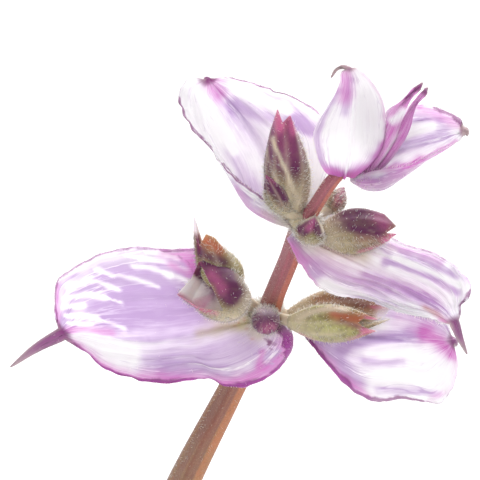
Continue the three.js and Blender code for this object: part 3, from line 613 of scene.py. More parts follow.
def papery_finish(f, settings):
    """Papery bract: white to lavender in lengthwise streaks and fine veins, flushed with magenta, green at
    the foot, tan where it has dried, purple at the margin and on the cusp, and thin enough for light to come
    through. The lavender also carries painted shade in the folds, and thin crease lines are painted darker as
    shade and lighter as highlights."""
    u, v, side = f.attribute("blade")
    shade, flush, green = f.attribute("paint")
    cusp, margin, tan = f.attribute("trim")
    streak = f.noise(f.vector(u * 3.0, v * 9.0, side), 1.0, 4.0, 0.6)
    fine = f.noise(f.vector(u * 7.0, v * 46.0, side), 1.0, 3.0, 0.6)
    cloud = f.noise(f.place(), 0.35, 3.0, 0.55)
    crease = f.noise(f.vector(u * 4.0, v * 6.5, side + 3.0), 1.0, 2.0, 0.5)
    # Thin crease lines: painted shade in dark lines and painted highlights in light lines, both strongest in
    # the folded parts
    painted_crease_shade = (1 - f.ramp(abs(crease - 0.5), 0.0, 0.045)) * f.ramp(streak, 0.42, 0.6)
    painted_crease_highlight = (1 - f.ramp(abs(streak - 0.5), 0.0, 0.04)) * f.ramp(crease, 0.4, 0.6)
    folded = (f.ramp(abs(v), 0.35, 0.8) + f.ramp(u, 0.5, 0.8) + 0.15).limit()
    # The blade's own lavender together with painted shade in its folds, streaks and creases
    lavender_and_shade = f.ramp(shade + (streak - 0.5) * 0.5 + (fine - 0.5) * 0.3, 0.0, 1.05)
    lavender_and_shade = lavender_and_shade + (cloud - 0.5) * 0.2 + (painted_crease_shade * 0.3 - painted_crease_highlight * 0.6) * folded
    colour = f.mix(lavender_and_shade, settings.white, settings.lavender)
    colour = f.mix(green * (0.8 + (cloud - 0.5) * 0.8), colour, settings.foot)
    colour = f.mix(tan * (0.8 + (fine - 0.5) * 1.2), colour, settings.tan)
    colour = f.mix(flush * (0.85 + (fine - 0.5) * 1.2 + (streak - 0.5) * 0.6), colour, settings.flush)
    edge = f.noise(f.vector(u * 46.0, v * 3.0), 1.0, 3.0, 0.6)
    colour = f.mix(f.ramp(margin + (edge - 0.5) * 0.7, 0.3, 0.85) * 0.92, colour, settings.margin)
    pale_part = f.ramp(abs(v), 0.3, 1.0) * 0.6 + f.ramp(u, 0.9, 1.0) * 0.8 + tan
    drawn_out = f.mix(pale_part, settings.cusp, settings.point)
    colour = f.mix(f.ramp(cusp + (streak - 0.5) * 0.3, 0.1, 0.8) * 0.9, colour, drawn_out)
    normal = f.bump(streak * 0.5 + fine * 0.4, 0.08 * MM, 0.7)
    blade = f.skin(
        Base_Color=colour, Roughness=0.55, Normal=normal, Specular_IOR_Level=0.35,
        Subsurface_Weight=settings.glow, Subsurface_Radius=(1.0, 0.9, 1.0),
        Subsurface_Scale=settings.glow_depth, Sheen_Weight=0.15, Sheen_Roughness=0.4,
    )
    solid = f.skin(Base_Color=colour, Roughness=0.5, Normal=normal, Sheen_Weight=0.3, Sheen_Roughness=0.4)
    return f.node("ShaderNodeMixShader", {}, {0: f.ramp(cusp, 0.0, 0.5), 1: blade, 2: solid})


def calyx_finish(f, settings):
    """Calyx: olive green with paler ribs, turning purple or tawny where it is painted so, and hairy-dull."""
    q, _, inner = f.attribute("bell")
    purple, tawny, pale = f.attribute("paint")
    pink, clear, dusk = f.attribute("trim")
    spot = f.place()
    mottle = f.noise(spot, 1.6, 4.0, 0.6)
    grain = f.noise(spot, 6.0, 3.0, 0.6)
    colour = f.mix(f.ramp(mottle, 0.22, 0.74), settings.olive, settings.green)
    colour = f.mix(dusk * (0.55 + (mottle - 0.5) * 0.9), colour, settings.dusk)
    colour = f.mix((1 - f.ramp(q, 0.1, 0.5)) * 0.6, colour, settings.pale)
    colour = f.mix(inner * 0.95, colour, settings.inside)
    colour = f.mix(tawny + (mottle - 0.5) * 0.6 * tawny, colour, settings.tawny)
    colour = f.mix(purple * (0.6 + mottle * 0.8), colour, settings.purple)
    colour = f.mix(pink * (0.8 + (grain - 0.5) * 0.8), colour, settings.pink)
    # The pale tint gives ribs and pale patches their own paler colour, and also paints highlights as thin
    # pale streaks on a purple lip
    colour = f.mix(pale * (0.5 + grain), colour, settings.pale)
    colour = f.mix(clear * (0.7 + grain * 0.6), colour, settings.clear)
    normal = f.bump(grain * 0.4 + mottle * 0.6, 0.1 * MM, 0.7)
    return f.skin(
        Base_Color=colour, Roughness=0.6, Normal=normal, Specular_IOR_Level=0.4,
        Subsurface_Weight=0.5, Subsurface_Radius=(1.0, 0.7, 0.5), Subsurface_Scale=0.5 * MM,
        Sheen_Weight=0.4, Sheen_Roughness=0.4,
    )


def hair_finish(f, settings):
    """Glandular hair: clear and pale, with an amber bead."""
    share, chance, _ = f.attribute("hair")
    colour = f.mix(f.ramp(share, 0.84, 0.95), settings.hair, settings.bead)
    colour = f.mix(f.ramp(chance, 0.6, 0.9) * 0.35, colour, settings.stain)
    return f.skin(
        Base_Color=colour, Roughness=0.35, Subsurface_Weight=1.0, Subsurface_Radius=(1.0, 1.0, 1.0),
        Subsurface_Scale=0.3 * MM,
    )


def stem_finish(f, settings):
    """Stem: mauve brown on its shaded side and warmer on its sunny side, partly its own colour and partly
    painted shade and light; green below, speckled lengthwise.
    """
    along, face, age = f.attribute("stem")
    spot = f.place()
    grain = f.noise(f.vector(along * 2.2, face * 26.0), 1.0, 4.0, 0.65)
    blotch = f.noise(spot, 0.5, 3.0, 0.6)
    young = f.ramp(age, 0.88, 0.98)
    # Painted shade and light: one side is painted mauve brown as if shaded and the other warmer as if lit,
    # over the stem's own colour
    broad = f.mix(f.ramp(age, 0.85, 1.05), settings.russet, settings.mauve)
    warm = f.mix(young, settings.sunny, settings.salmon)
    colour = f.mix(f.ramp(abs(face - 0.5), 0.22, 0.28), broad, warm)
    stripe = f.noise(f.vector(along * 0.03, face * 13.0), 1.0, 2.0, 0.5)
    colour = f.mix(f.ramp(stripe, 0.5, 0.72) * (1 - young) * 0.65, colour, settings.gold)
    colour = f.mix(f.ramp(age + (blotch - 0.5) * 0.2, 0.45, 0.8), settings.green, colour)
    colour = f.mix((grain - 0.35) * 0.7, colour, settings.dark)
    dots = 1 - f.ramp(f.cells(spot, 2.6), 0.12, 0.3)
    colour = f.mix(dots * 0.55 * f.ramp(age, 0.6, 0.9), colour, settings.dark)
    specks = 1 - f.ramp(f.cells(spot, 3.6), 0.1, 0.3)
    colour = f.mix(specks * 0.25, colour, settings.hair)
    normal = f.bump(grain + blotch * 0.5, 0.2 * MM, 0.6)
    return f.skin(
        Base_Color=colour, Roughness=0.5, Normal=normal, Subsurface_Weight=0.2,
        Subsurface_Radius=(1.0, 0.6, 0.4), Subsurface_Scale=0.6 * MM, Sheen_Weight=0.3, Sheen_Roughness=0.4,
    )


def leaf_finish(f, settings):
    """Leaf: grey green and puckered between pale sunk veins, felted, paler underneath."""
    side = f.attribute("blade")[2]
    vein = f.attribute("paint")[0]
    spot = f.place()
    felt = f.noise(spot, 2.4, 3.0, 0.7)
    net = f.cells(spot, 0.42, "DISTANCE_TO_EDGE")
    colour = f.mix(f.noise(spot, 0.09, 4.0, 0.6), settings.dark, settings.light)
    colour = f.mix(0.45 + f.ramp(net, 0.0, 0.25) * 0.55, settings.vein, colour)
    colour = f.mix(vein * 0.9, colour, settings.vein)
    colour = f.mix((felt - 0.4) * 0.7, colour, settings.felt)
    colour = f.mix(side * 0.65, colour, settings.under)
    normal = f.bump(f.ramp(net, 0.0, 0.5) * 0.8 + felt * 0.35, 1.1 * MM, 0.85)
    return f.skin(
        Base_Color=colour, Roughness=0.75, Normal=normal, Subsurface_Weight=0.15,
        Subsurface_Radius=(0.5, 1.0, 0.2), Subsurface_Scale=0.8 * MM, Sheen_Weight=0.5, Sheen_Roughness=0.5,
        Specular_IOR_Level=0.3,
    )


def clay_finish(f, settings):
    """Terracotta: fired clay, darker in its pores, paler in patches where lime has bloomed, most of all low
    down.
    """
    spot = f.place()
    height = f.split(spot)[2]
    cloud = f.noise(spot, 0.035, 5.0, 0.6)
    grain = f.noise(spot, 1.2, 4.0, 0.7)
    pores = f.cells(spot, 0.55)
    colour = f.mix(f.ramp(cloud, 0.3, 0.7), settings.fired, settings.warm)
    colour = f.mix((1 - f.ramp(pores, 0.05, 0.25)) * 0.3, colour, settings.pore)
    bloom = f.ramp(cloud + f.ramp(height, 70.0, 5.0) * 0.35 + (grain - 0.5) * 0.3, 0.62, 0.95)
    colour = f.mix(bloom * 0.55, colour, settings.lime)
    normal = f.bump(grain * 0.6 + pores * 0.3, 0.35 * MM, 0.6)
    return f.skin(Base_Color=colour, Roughness=0.82, Normal=normal, Specular_IOR_Level=0.3)


def soil_finish(f, settings):
    """Potting soil: dark crumbs with paler fibres and grit."""
    spot = f.place()
    cloud = f.noise(spot, 0.2, 5.0, 0.7)
    grit = f.noise(spot, 1.4, 2.0, 0.5)
    colour = f.mix(cloud, settings.dark, settings.light)
    colour = f.mix(f.ramp(grit, 0.68, 0.76) * 0.7, colour, settings.grit)
    normal = f.bump(f.cells(spot, 0.5) + cloud * 0.8, 1.2 * MM, 0.9)
    return f.skin(Base_Color=colour, Roughness=0.95, Normal=normal, Specular_IOR_Level=0.2)


FINISHES = {
    "papery blade": (papery_finish, "sage_papery"),
    "hairy calyx": (calyx_finish, "sage_calyx"),
    "glandular hair": (hair_finish, "sage_hair"),
    "stem skin": (stem_finish, "sage_stem"),
    "felted leaf": (leaf_finish, "sage_leaf"),
    "fired clay": (clay_finish, "sage_pot"),
    "potting soil": (soil_finish, "sage_soil"),
}


def finished(name):
    """The material of that name, made when it is first asked for."""
    made = bpy.data.materials.get(name)
    if made:
        return made
    dress, settings = FINISHES[name]
    finish = Finish(bpy.data.materials.new(name))
    return finish.done(dress(finish, getattr(bpy.context.scene, settings)))


# The plant's own sizes

STEM_TURN = math.radians(25)
STATIONS = {
    "foot": ((0, 0, 83.5), 6.6),
    "crown": ((0, 0, 104), 6.6),
    "leaves1": ((-2.6, 2.2, 138), 6.1),
    "leaves2": ((-4.1, 3.9, 172), 5.7),
    "branchesA": ((-4.2, 4.6, 207), 5.2),
    "branchesB": ((-2.5, 3.6, 249), 4.6),
    "nodeC": ((3.6, 0.5, 289), 4.0),
    "nodeD": ((13.2, -4.6, 327), 3.5),
    "bare1": (on_spray(-9.5, -19.4, -15), 3.05),
    "bare2": (on_spray(-4, -8.4, -7.4), 2.45),
    "node1": (NODE_1, 2.25),
    "bare3": (on_spray(1.2, 3.4, 2.8), 1.9),
    "bare4": (on_spray(2.6, 6.9, 5.6), 1.85),
    "node2": (on_spray(3.9, 10.6, 8.6), 1.8),
    "bare5": (on_spray(5.4, 12.8, 10.4), 1.3),
    "node3": (on_spray(7.3, 15.7, 12.5), 1.25),
    "tip": (on_spray(9.0, 17.4, 12.3), 1.0),
}
NAMES = list(STATIONS)
MAIN = [np.asarray(at, float) for at, _ in STATIONS.values()]
MAIN_WIDTHS = [width for _, width in STATIONS.values()]


def station(name):
    """A station's place on the main stem, and the stem's heading there."""
    t = NAMES.index(name) / (len(NAMES) - 1)
    return MAIN[NAMES.index(name)], curve_heading(MAIN, np.array([t]))[0]


def stem_at(z):
    """The middle of the main stem at a height."""
    above = next(k for k, at in enumerate(MAIN) if at[2] > z)
    share = (z - MAIN[above - 1][2]) / (MAIN[above][2] - MAIN[above - 1][2])
    return curve_points(MAIN, np.array([(above - 1 + share) / (len(MAIN) - 1)]))[0]


# Node, heading, length, first and last width, first and last rise, and where along it the whorls stand
BRANCHES = [
    ("branchesA", -10, 72, (3.2, 1.5), (38, 66), (0.52, 0.77)),
    ("branchesA", 170, 68, (3.2, 1.5), (36, 64), (0.52, 0.77)),
    ("branchesB", 80, 34, (2.5, 1.3), (36, 62), ()),
    ("branchesB", 260, 36, (2.5, 1.3), (40, 64), ()),
]
BRANCH_STEPS = 3


def branch_line(node, heading, length, ends, rises):
    """Knots and widths of a side branch: equal steps whose rise grows from one value to the other."""
    at, along = station(node)
    knots = [at + 2.5 * along]
    widths = [ends[0]]
    for k in range(BRANCH_STEPS):
        rise = np.interp((k + 0.5) / BRANCH_STEPS, (0, 1), rises)
        knots.append(knots[-1] + direction(heading, rise) * length / BRANCH_STEPS)
        widths.append(np.interp((k + 1) / BRANCH_STEPS, (0, 1), ends))
    return knots, widths


# Name, height, heading, rise, stalk, blade, width, droop
LEAVES = [
    ("leaf_base_1", 103.2, -12, 24, 36, 92, 58, 62),
    ("leaf_base_2", 103.2, 166, 27, 34, 88, 56, 66),
    ("leaf_base_3", 107.2, 78, 27, 33, 86, 56, 60),
    ("leaf_base_4", 107.2, 258, 25, 35, 90, 57, 64),
    ("leaf_base_5", 112.0, 33, 45, 30, 78, 49, 66),
    ("leaf_base_6", 112.0, 214, 48, 28, 76, 48, 70),
    ("leaf_base_7", 117.0, 122, 52, 26, 70, 44, 70),
    ("leaf_base_8", 117.0, 304, 50, 27, 72, 45, 68),
    ("leaf_stem_1", 138, -10, 40, 12, 54, 33, 62),
    ("leaf_stem_2", 138, 170, 38, 12, 55, 33, 58),
    ("leaf_stem_3", 172, 80, 42, 6, 42, 26, 60),
    ("leaf_stem_4", 172, 260, 40, 6, 43, 26, 56),
]


def leaf_spec(z, heading, rise, stalk, blade, width, droop):
    """The blade that stands for a leaf."""
    length = stalk + blade
    return {
        **BLADE, "base": stem_at(z), "aim": direction(heading, rise), "face": direction(heading, rise + 90),
        "length": length, "width": width, "stalk": stalk / length, "stalk_half": 1.1, "cusp_half": 0.5,
        "bend": -droop, "bend_power": 1.25, "wide": 0.34, "at_base": 0.5, "rise": 0.7, "point": 1.75,
        "blunt": 0.85, "lobe": 0.07, "lobe_at": 0.07, "fold": 17, "cup": -14, "wave": 0.05 * width,
        "waves": 3.5, "scallop": 0.035, "scallops": 6 if blade > 60 else 5,
    }


# Tints of a bract and of a calyx
SHADE, FLUSH, GREEN, PLUM, TAN = range(5)
PURPLE, TAWNY, PALE, PINK, CLEAR = range(5)

# The bracts of the photographed tip. Each is stretched from its midrib to a high and a low margin. A place
# is pixels across and down the photograph, and millimetres out of the tip's plane. A stroke is its tint, its
# width in pixels, its strength and its places.
# Shade strokes paint the bracts' own lavender together with painted shade in folds and on parts turned from
# the light; negative shade strokes paint highlights of sunlit folds.
TIP_BRACTS = {
    "bract_low_left": {
        "rib": [(266, 324, 0.8), (250, 323, 0.9), (235, 325, 1.0), (194, 335, 1.2), (153, 341, 1.5),
            (122, 339, 1.8), (82, 335, 2.2), (62, 334, 2.5)],
        "high": [(264, 321, 0.6), (252, 298, 0.2), (236, 270, 0.4), (212, 250, 1.0), (190, 249, 1.8),
            (160, 249, 2.8), (130, 247, 3.6), (100, 254, 4.2), (75, 267, 4.2), (57, 280, 3.8),
            (55, 300, 3.2), (57, 322, 2.7), (62, 334, 2.5)],
        "low": [(268, 323, 1.2), (280, 321, 1.8), (290, 329, 2.4), (293, 345, 3.0), (286, 361, 3.4),
            (266, 378, 3.6), (245, 387, 3.8), (228, 386, 3.8), (213, 379, 3.7), (190, 380, 3.7),
            (160, 384, 3.8), (130, 378, 3.8), (104, 369, 3.6), (88, 353, 3.2), (74, 343, 2.8),
            (62, 334, 2.5)],
        "cusp": [(62, 334, 2.5), (36, 348, 1.8), (10, 367, 1.0)],
        "cusp_half": 0.75, "bulge": (0.5, -0.9), "pleats": 9, "pleat_height": 0.2, "veil": 0.32,
        "seed": 11,
        "strokes": [
            (SHADE, 26, 0.9, [(228, 300), (190, 304), (150, 304), (112, 312)]),
            (SHADE, 14, 0.65, [(195, 268), (150, 266), (105, 274), (70, 296), (66, 320)]),
            (SHADE, 3.2, -0.6, [(200, 287), (180, 277), (165, 273)]),
            (SHADE, 2.8, -0.7, [(170, 275), (150, 268), (132, 266)]),
            (SHADE, 3.0, -0.6, [(188, 270), (160, 262), (140, 259)]),
            (SHADE, 1.5, -0.8, [(144, 259), (126, 256)]),
            (SHADE, 1.8, -0.7, [(178, 259), (158, 253), (146, 252)]),
            (SHADE, 2.4, -0.6, [(158, 287), (134, 278), (118, 275)]),
            (SHADE, 2.4, -0.8, [(112, 276), (96, 270)]),
            (SHADE, 2.4, -0.7, [(118, 290), (96, 281), (84, 281)]),
            (SHADE, 3.2, -0.9, [(84, 284), (70, 286)]),
            (SHADE, 3.4, -0.8, [(104, 297), (88, 294), (66, 298)]),
            (SHADE, 1.4, -0.8, [(122, 303), (104, 297)]),
            (SHADE, 3.2, -0.9, [(82, 305), (64, 307)]),
            (SHADE, 2.8, -0.9, [(100, 319), (82, 315), (66, 316)]),
            (SHADE, 2.4, -0.6, [(124, 328), (104, 321)]),
            (SHADE, 2.2, -0.8, [(90, 325), (68, 323)]),
            (SHADE, 18, 0.45, [(250, 348), (215, 354), (180, 360), (150, 366)]),
            (SHADE, 11, -1.0, [(82, 342), (126, 356)]),
            (FLUSH, 8, 1.0, [(190, 255), (205, 266), (213, 286)]),
            (FLUSH, 6, 0.9, [(162, 253), (186, 256), (194, 268)]),
            (FLUSH, 4, 0.6, [(170, 264), (188, 275)]),
            (PLUM, 1.6, 0.6, [(176, 256), (188, 262), (193, 272)]),
            (FLUSH, 2.5, 0.7, [(57, 285), (57, 310), (59, 332)]),
            (PLUM, 1.4, 0.5, [(56, 285), (55, 302), (58, 322)]),
            (FLUSH, 4, 0.7, [(60, 331), (84, 329), (112, 333)]),
            (FLUSH, 8, 1.2, [(72, 346), (104, 370), (130, 380), (190, 382), (228, 386), (266, 378)]),
            (PLUM, 4.5, 0.9, [(74, 346), (104, 371), (130, 381), (190, 383), (228, 388), (266, 380)]),
            (GREEN, 3, 0.5, [(130, 382), (190, 384)]),
            (FLUSH, 8, 0.6, [(288, 337), (288, 352), (276, 369), (255, 380)]),
            (PLUM, 2.2, 0.7, [(268, 345), (274, 352)]),
            (PLUM, 1.8, 0.7, [(262, 362), (268, 366)]),
            (PLUM, 2.5, 1.0, [(165, 250), (190, 249), (214, 250)]),
            (PLUM, 1.2, 0.5, [(57, 322), (55, 300), (57, 280), (75, 267), (100, 254),
                (130, 248), (165, 250)]),
            (PLUM, 2.5, 0.7, [(264, 339), (276, 345)]),
            (PLUM, 2, 0.8, [(277, 330), (284, 338), (283, 346)]),
            (PLUM, 2, 0.6, [(288, 352), (281, 364), (270, 372)]),
            (FLUSH, 9, 0.35, [(284, 342), (279, 360), (264, 372)]),
            (SHADE, 10, 0.7, [(282, 345), (272, 366)]),
            # Negative flush dots paint highlights on the crumpled lobe
            (FLUSH, 1.5, -0.9, [(281, 350)]),
            (FLUSH, 1.5, -0.9, [(285, 360)]),
            (FLUSH, 1.5, -0.8, [(272, 364)]),
            (FLUSH, 1.5, -0.8, [(266, 357)]),
            (PLUM, 1.5, 0.7, [(277, 358)]),
            (PLUM, 1.5, 0.7, [(284, 352)]),
            # Negative flush strokes here paint highlights on the lobe
            (FLUSH, 3, -0.8, [(276, 352), (270, 356)]),
            (FLUSH, 3, 0.8, [(262, 352), (258, 368)]),
            (FLUSH, 3, -0.7, [(262, 374), (256, 379)]),
            (PLUM, 5, 1.1, [(280, 326), (288, 334), (291, 350)]),
            (TAN, 3, 0.9, [(276, 329), (288, 337)]),
            (TAN, 1.5, 0.9, [(238, 323)]),
            (TAN, 1.5, 0.9, [(247, 329)]),
            (TAN, 1.3, 0.9, [(252, 339)]),
            (TAN, 1.3, 0.9, [(229, 317)]),
            (GREEN, 13, 0.75, [(264, 318), (240, 312), (220, 314)]),
            (GREEN, 6, 0.55, [(240, 325), (200, 334)]),
            (GREEN, 7, 0.5, [(246, 326), (258, 336)]),
            (SHADE, 9, 0.4, [(165, 373), (205, 374), (240, 377), (262, 368)]),
            (TAN, 1.4, 0.8, [(244, 320)]),
            (TAN, 1.2, 0.8, [(235, 326)]),
        ],
    },
    "bract_low_right": {
        "rib": [(284, 322, 0.6), (310, 329, 0.9), (340, 335, 1.2), (370, 338, 1.5), (400, 339, 1.6),
            (430, 340, 1.2), (452, 341, 0.6)],
        "high": [(284, 318, 0.2), (305, 306, -0.6), (340, 290, -1.2), (370, 284, -1.4), (400, 287, -1.2),
            (426, 299, -0.8), (446, 318, -0.2), (452, 341, 0.6)],
        "low": [(284, 324, 0.8), (297, 329, 1.4), (313, 347, 2.2), (336, 375, 3.0), (361, 396, 3.4),
            (385, 402, 3.5), (402, 399, 3.4), (422, 401, 3.3), (438, 404, 3.2), (451, 391, 2.6),
            (457, 372, 1.9), (456, 354, 1.1), (452, 341, 0.6)],
        "cusp": [(452, 341, 0.6), (455, 343, -0.6), (453, 346, -2.4)],
        "cusp_half": 0.5, "bulge": (0.3, -0.6), "pleats": 7, "pleat_height": 0.2, "veil": 0.12,
        "seed": 23,
        "strokes": [
            (PLUM, 5.2, 1.2, [(296, 331), (312, 348), (335, 376), (360, 398), (382, 403), (402, 402)]),
            (FLUSH, 5, 0.8, [(299, 333), (318, 352), (341, 377), (368, 397)]),
            (SHADE, 15, 0.8, [(314, 342), (336, 362), (354, 382)]),
            (SHADE, 9, 0.8, [(345, 345), (380, 338), (418, 335)]),
            (SHADE, 9, 0.55, [(390, 312), (420, 318), (445, 330)]),
            (FLUSH, 9, 0.3, [(400, 318), (430, 326)]),
            (FLUSH, 9, 1.0, [(424, 334), (440, 342), (450, 352)]),
            (PLUM, 3, 0.35, [(430, 330), (446, 338), (454, 348)]),
            (SHADE, 5, 0.55, [(364, 361), (378, 363), (402, 361)]),
            (SHADE, 5, 0.5, [(378, 391), (410, 391), (440, 395)]),
            (PLUM, 2, 0.6, [(385, 402), (402, 399), (422, 401)]),
            (FLUSH, 4, 0.5, [(430, 400), (450, 390), (456, 370), (455, 350)]),
            (GREEN, 8, 0.8, [(290, 322), (303, 328)]),
        ],
    },
    "bract_mid_left": {
        "rib": [(292, 224, 8.0), (277, 190, 6.6), (262, 152, 5.3), (242, 120, 4.1), (223, 97, 3.2),
            (208, 79, 2.6)],
        "high": [(290, 226, 8.8), (264, 199, 9.6), (240, 182, 9.2), (222, 164, 8.2), (211, 149, 7.4),
            (200, 136, 6.5), (189, 126, 5.8), (182, 112, 5.0), (178, 99, 4.2), (181, 87, 3.4),
            (191, 78, 2.9), (208, 79, 2.6)],
        "high_belly": [(290, 228, 8.2), (269, 221, 8.2), (249, 208, 8.0), (240, 186, 6.8),
            (229, 162, 5.4), (216, 138, 4.2), (206, 115, 3.2), (198, 94, 2.6), (208, 79, 2.6)],
        "low": [(294, 222, 7.6), (314, 200, 7.0), (328, 168, 6.4), (331, 138, 6.0), (318, 113, 5.4),
            (300, 100, 4.8), (278, 91, 4.2), (250, 82, 3.6), (226, 77, 3.0), (208, 79, 2.6)],
        "cusp": [(208, 79, 2.6), (206, 78, 2.2), (206, 80, 1.6)],
        "cusp_half": 0.25, "bulge": (0.0, -1.2), "pleats": 8, "pleat_height": 0.2, "veil": 0.16,
        "seed": 37,
        "strokes": [
            (FLUSH, 9, 0.8, [(208, 80), (218, 94)]),
            (SHADE, 14, 0.42, [(218, 93), (232, 112), (249, 130), (268, 150)]),
            (SHADE, 9, 0.5, [(236, 104), (268, 118), (302, 130)]),
            (SHADE, 8, 0.75, [(292, 116), (320, 134)]),
            (SHADE, 4, -0.7, [(200, 92), (215, 120), (234, 152)]),
            (SHADE, 4, -0.6, [(232, 90), (262, 100), (290, 111)]),
            (SHADE, 9, 0.5, [(230, 152), (245, 175), (262, 196)]),
            (FLUSH, 6, 0.45, [(236, 190), (250, 209), (270, 220)]),
            (SHADE, 9, 0.45, [(232, 186), (250, 207), (262, 214)]),
            (TAN, 6, 0.5, [(266, 214), (285, 225)]),
            (PLUM, 1.3, 0.8, [(222, 164), (240, 182), (264, 199), (280, 215)]),
            (PLUM, 1.4, 0.8, [(179, 99), (183, 112), (190, 126), (200, 136), (211, 149)]),
            (FLUSH, 3, 0.4, [(208, 79), (230, 79), (262, 86)]),
            (PLUM, 1.2, 0.45, [(226, 77), (250, 82), (278, 91), (300, 100), (318, 113)]),
            (GREEN, 9, 0.7, [(288, 218), (280, 200)]),
        ],
    },
    "bract_mid_right": {
        "rib": [(292, 233, 8.8), (322, 250, 9.0), (358, 266, 9.4), (393, 281, 9.7), (424, 296, 9.4),
            (444, 309, 8.8), (454, 322, 8.0)],
        "high": [(296, 227, 8.4), (325, 214, 6.4), (360, 220, 6.0), (394, 239, 6.6), (420, 249, 7.0),
            (445, 258, 7.2), (461, 271, 7.2), (470, 286, 7.0), (468, 299, 7.2), (459, 306, 8.4),
            (458, 314, 8.2), (454, 322, 8.0)],
        "low": [(287, 238, 9.2), (293, 252, 9.8), (303, 269, 10.2), (316, 285, 10.4), (336, 296, 10.4),
            (365, 299, 10.4), (385, 307, 10.3), (402, 313, 10.2), (424, 317, 9.8), (441, 321, 9.0),
            (454, 322, 8.0)],
        "cusp": [(454, 322, 8.0), (460, 338, 7.6), (467, 354, 7.0)],
        "cusp_half": 0.55, "bulge": (0.4, 0.2), "pleats": 8, "pleat_height": 0.32, "veil": 0.25,
        "seed": 41,
        "strokes": [
            (SHADE, 9, 0.8, [(292, 243), (300, 258), (312, 275)]),
            (FLUSH, 6, 0.6, [(291, 246), (303, 262)]),
            (SHADE, 8, 0.45, [(318, 264), (350, 281), (385, 292)]),
            (FLUSH, 14, 0.3, [(318, 262), (360, 278), (410, 286), (440, 296)]),
            (GREEN, 11, 0.75, [(310, 240), (335, 249), (362, 256)]),
            (TAN, 7, 0.35, [(325, 247), (352, 254)]),
            (SHADE, 5, 0.6, [(385, 263), (410, 272), (440, 282), (456, 292)]),
            (SHADE, 4, 0.5, [(400, 253), (430, 264), (456, 278)]),
            (SHADE, 5, 0.45, [(366, 275), (400, 286), (432, 302)]),
            (SHADE, 7, 0.42, [(400, 294), (424, 300), (446, 312)]),
            (SHADE, 5, 0.25, [(452, 268), (464, 278)]),
            (SHADE, 3, -0.6, [(390, 268), (425, 281), (450, 299)]),
            (SHADE, 3, -0.6, [(395, 257), (430, 271), (458, 285)]),
            (FLUSH, 5, 0.4, [(390, 246), (415, 252), (440, 262)]),
            (SHADE, 8, 0.28, [(384, 244), (412, 250), (440, 260)]),
            (PLUM, 1.2, 0.3, [(394, 239), (420, 249), (445, 258)]),
            (SHADE, 2.5, 0.35, [(445, 258), (461, 271), (470, 286)]),
            (SHADE, 10, 0.2, [(395, 262), (430, 270)]),
            (TAN, 3, 0.8, [(425, 308), (438, 316), (449, 326)]),
            (FLUSH, 4, 0.7, [(440, 320), (453, 324)]),
            (PLUM, 2, 0.8, [(469, 291), (461, 305), (459, 314)]),
            (FLUSH, 3, 0.5, [(287, 240), (300, 266), (315, 284)]),
        ],
    },
    "bract_top_near": {
        "rib": [(344, 170, 11.4), (344, 176, 12.6), (346, 169, 14.6), (350, 140, 16.6), (354, 100, 16.4),
            (353, 80, 15.0), (349, 69, 14.2)],
        "high": [(342, 170, 11.2), (334, 177, 12.0), (324, 170, 12.4), (316, 153, 12.6), (314, 134, 12.8),
            (319, 121, 13.0), (328, 107, 13.4), (335, 94, 13.6), (340, 82, 13.9), (342, 72, 14.1),
            (349, 69, 14.2)],
        "low": [(347, 170, 11.2), (354, 178, 12.0), (364, 170, 12.4), (375, 160, 12.6), (383, 146, 12.8),
            (385, 124, 13.0), (383, 104, 13.2), (376, 89, 13.5), (366, 76, 13.9), (357, 69, 14.1),
            (349, 69, 14.2)],
        "cusp": [(349, 69, 14.2), (343, 67, 14.0), (336, 70, 13.6), (331, 77, 13.0)],
        "cusp_half": 0.28, "bulge": (1.1, 1.1), "pleats": 5, "pleat_height": 0.05, "frill": 0.01,
        "ruffle": 0.0, "veil": 0.1, "rim": 0.4, "seed": 53,
        "strokes": [
            (SHADE, 6, 0.75, [(320, 166), (316, 137), (324, 114), (336, 92)]),
            (FLUSH, 8, 0.8, [(346, 75), (345, 97)]),
            (SHADE, 6, 0.6, [(350, 80), (345, 112)]),
            (FLUSH, 8, 1.1, [(326, 174), (350, 178), (372, 168), (386, 148)]),
            (SHADE, 11, 1.1, [(325, 174), (345, 182), (372, 172), (386, 152)]),
            (GREEN, 3, 0.5, [(346, 178), (356, 177)]),
            (FLUSH, 3, 0.6, [(384, 146), (386, 124), (384, 104), (376, 88), (364, 74)]),
            (TAN, 10, 0.12, [(372, 120), (366, 92)]),
            (TAN, 4, 0.9, [(348, 177), (356, 176)]),
            (PLUM, 1.6, 0.4, [(356, 69), (343, 67), (333, 72)]),
            (TAN, 5, 0.9, [(352, 66), (340, 66), (332, 74)]),
        ],
    },
    "bract_top_far": {
        "rib": [(349, 176, 11.2), (375, 161, 10.4), (405, 150, 10.0), (438, 140, 10.2), (463, 131, 10.6)],
        "high": [(347, 172, 11.0), (362, 140, 9.4), (385, 113, 8.8), (418, 104, 8.8), (447, 111, 9.4),
            (460, 120, 10.0), (463, 131, 10.6)],
        "low": [(350, 178, 12.0), (364, 173, 13.0), (384, 169, 13.2), (408, 165, 12.8), (437, 152, 12.0),
            (456, 142, 11.2), (463, 131, 10.6)],
        "low_belly": [(350, 181, 11.6), (366, 190, 12.0), (382, 190, 11.8), (400, 178, 11.2),
            (424, 160, 10.8), (446, 146, 10.6), (463, 131, 10.6)],
        "cusp": [(463, 131, 10.6), (467, 131, 10.4), (467, 136, 10.8)],
        "cusp_half": 0.5, "bulge": (-1.0, 0.0), "pleats": 6, "pleat_height": 0.14, "frill": 0.015,
        "ruffle": 0.02, "veil": 0.25, "rim": 0.35, "seed": 67,
        "strokes": [
            (SHADE, 8, 0.55, [(390, 150), (420, 141), (445, 133)]),
            (SHADE, 7, 0.55, [(385, 125), (410, 118), (440, 120)]),
            (SHADE, 5, -0.6, [(400, 135), (432, 126)]),
            (PLUM, 4, 0.9, [(436, 108), (452, 114), (462, 125)]),
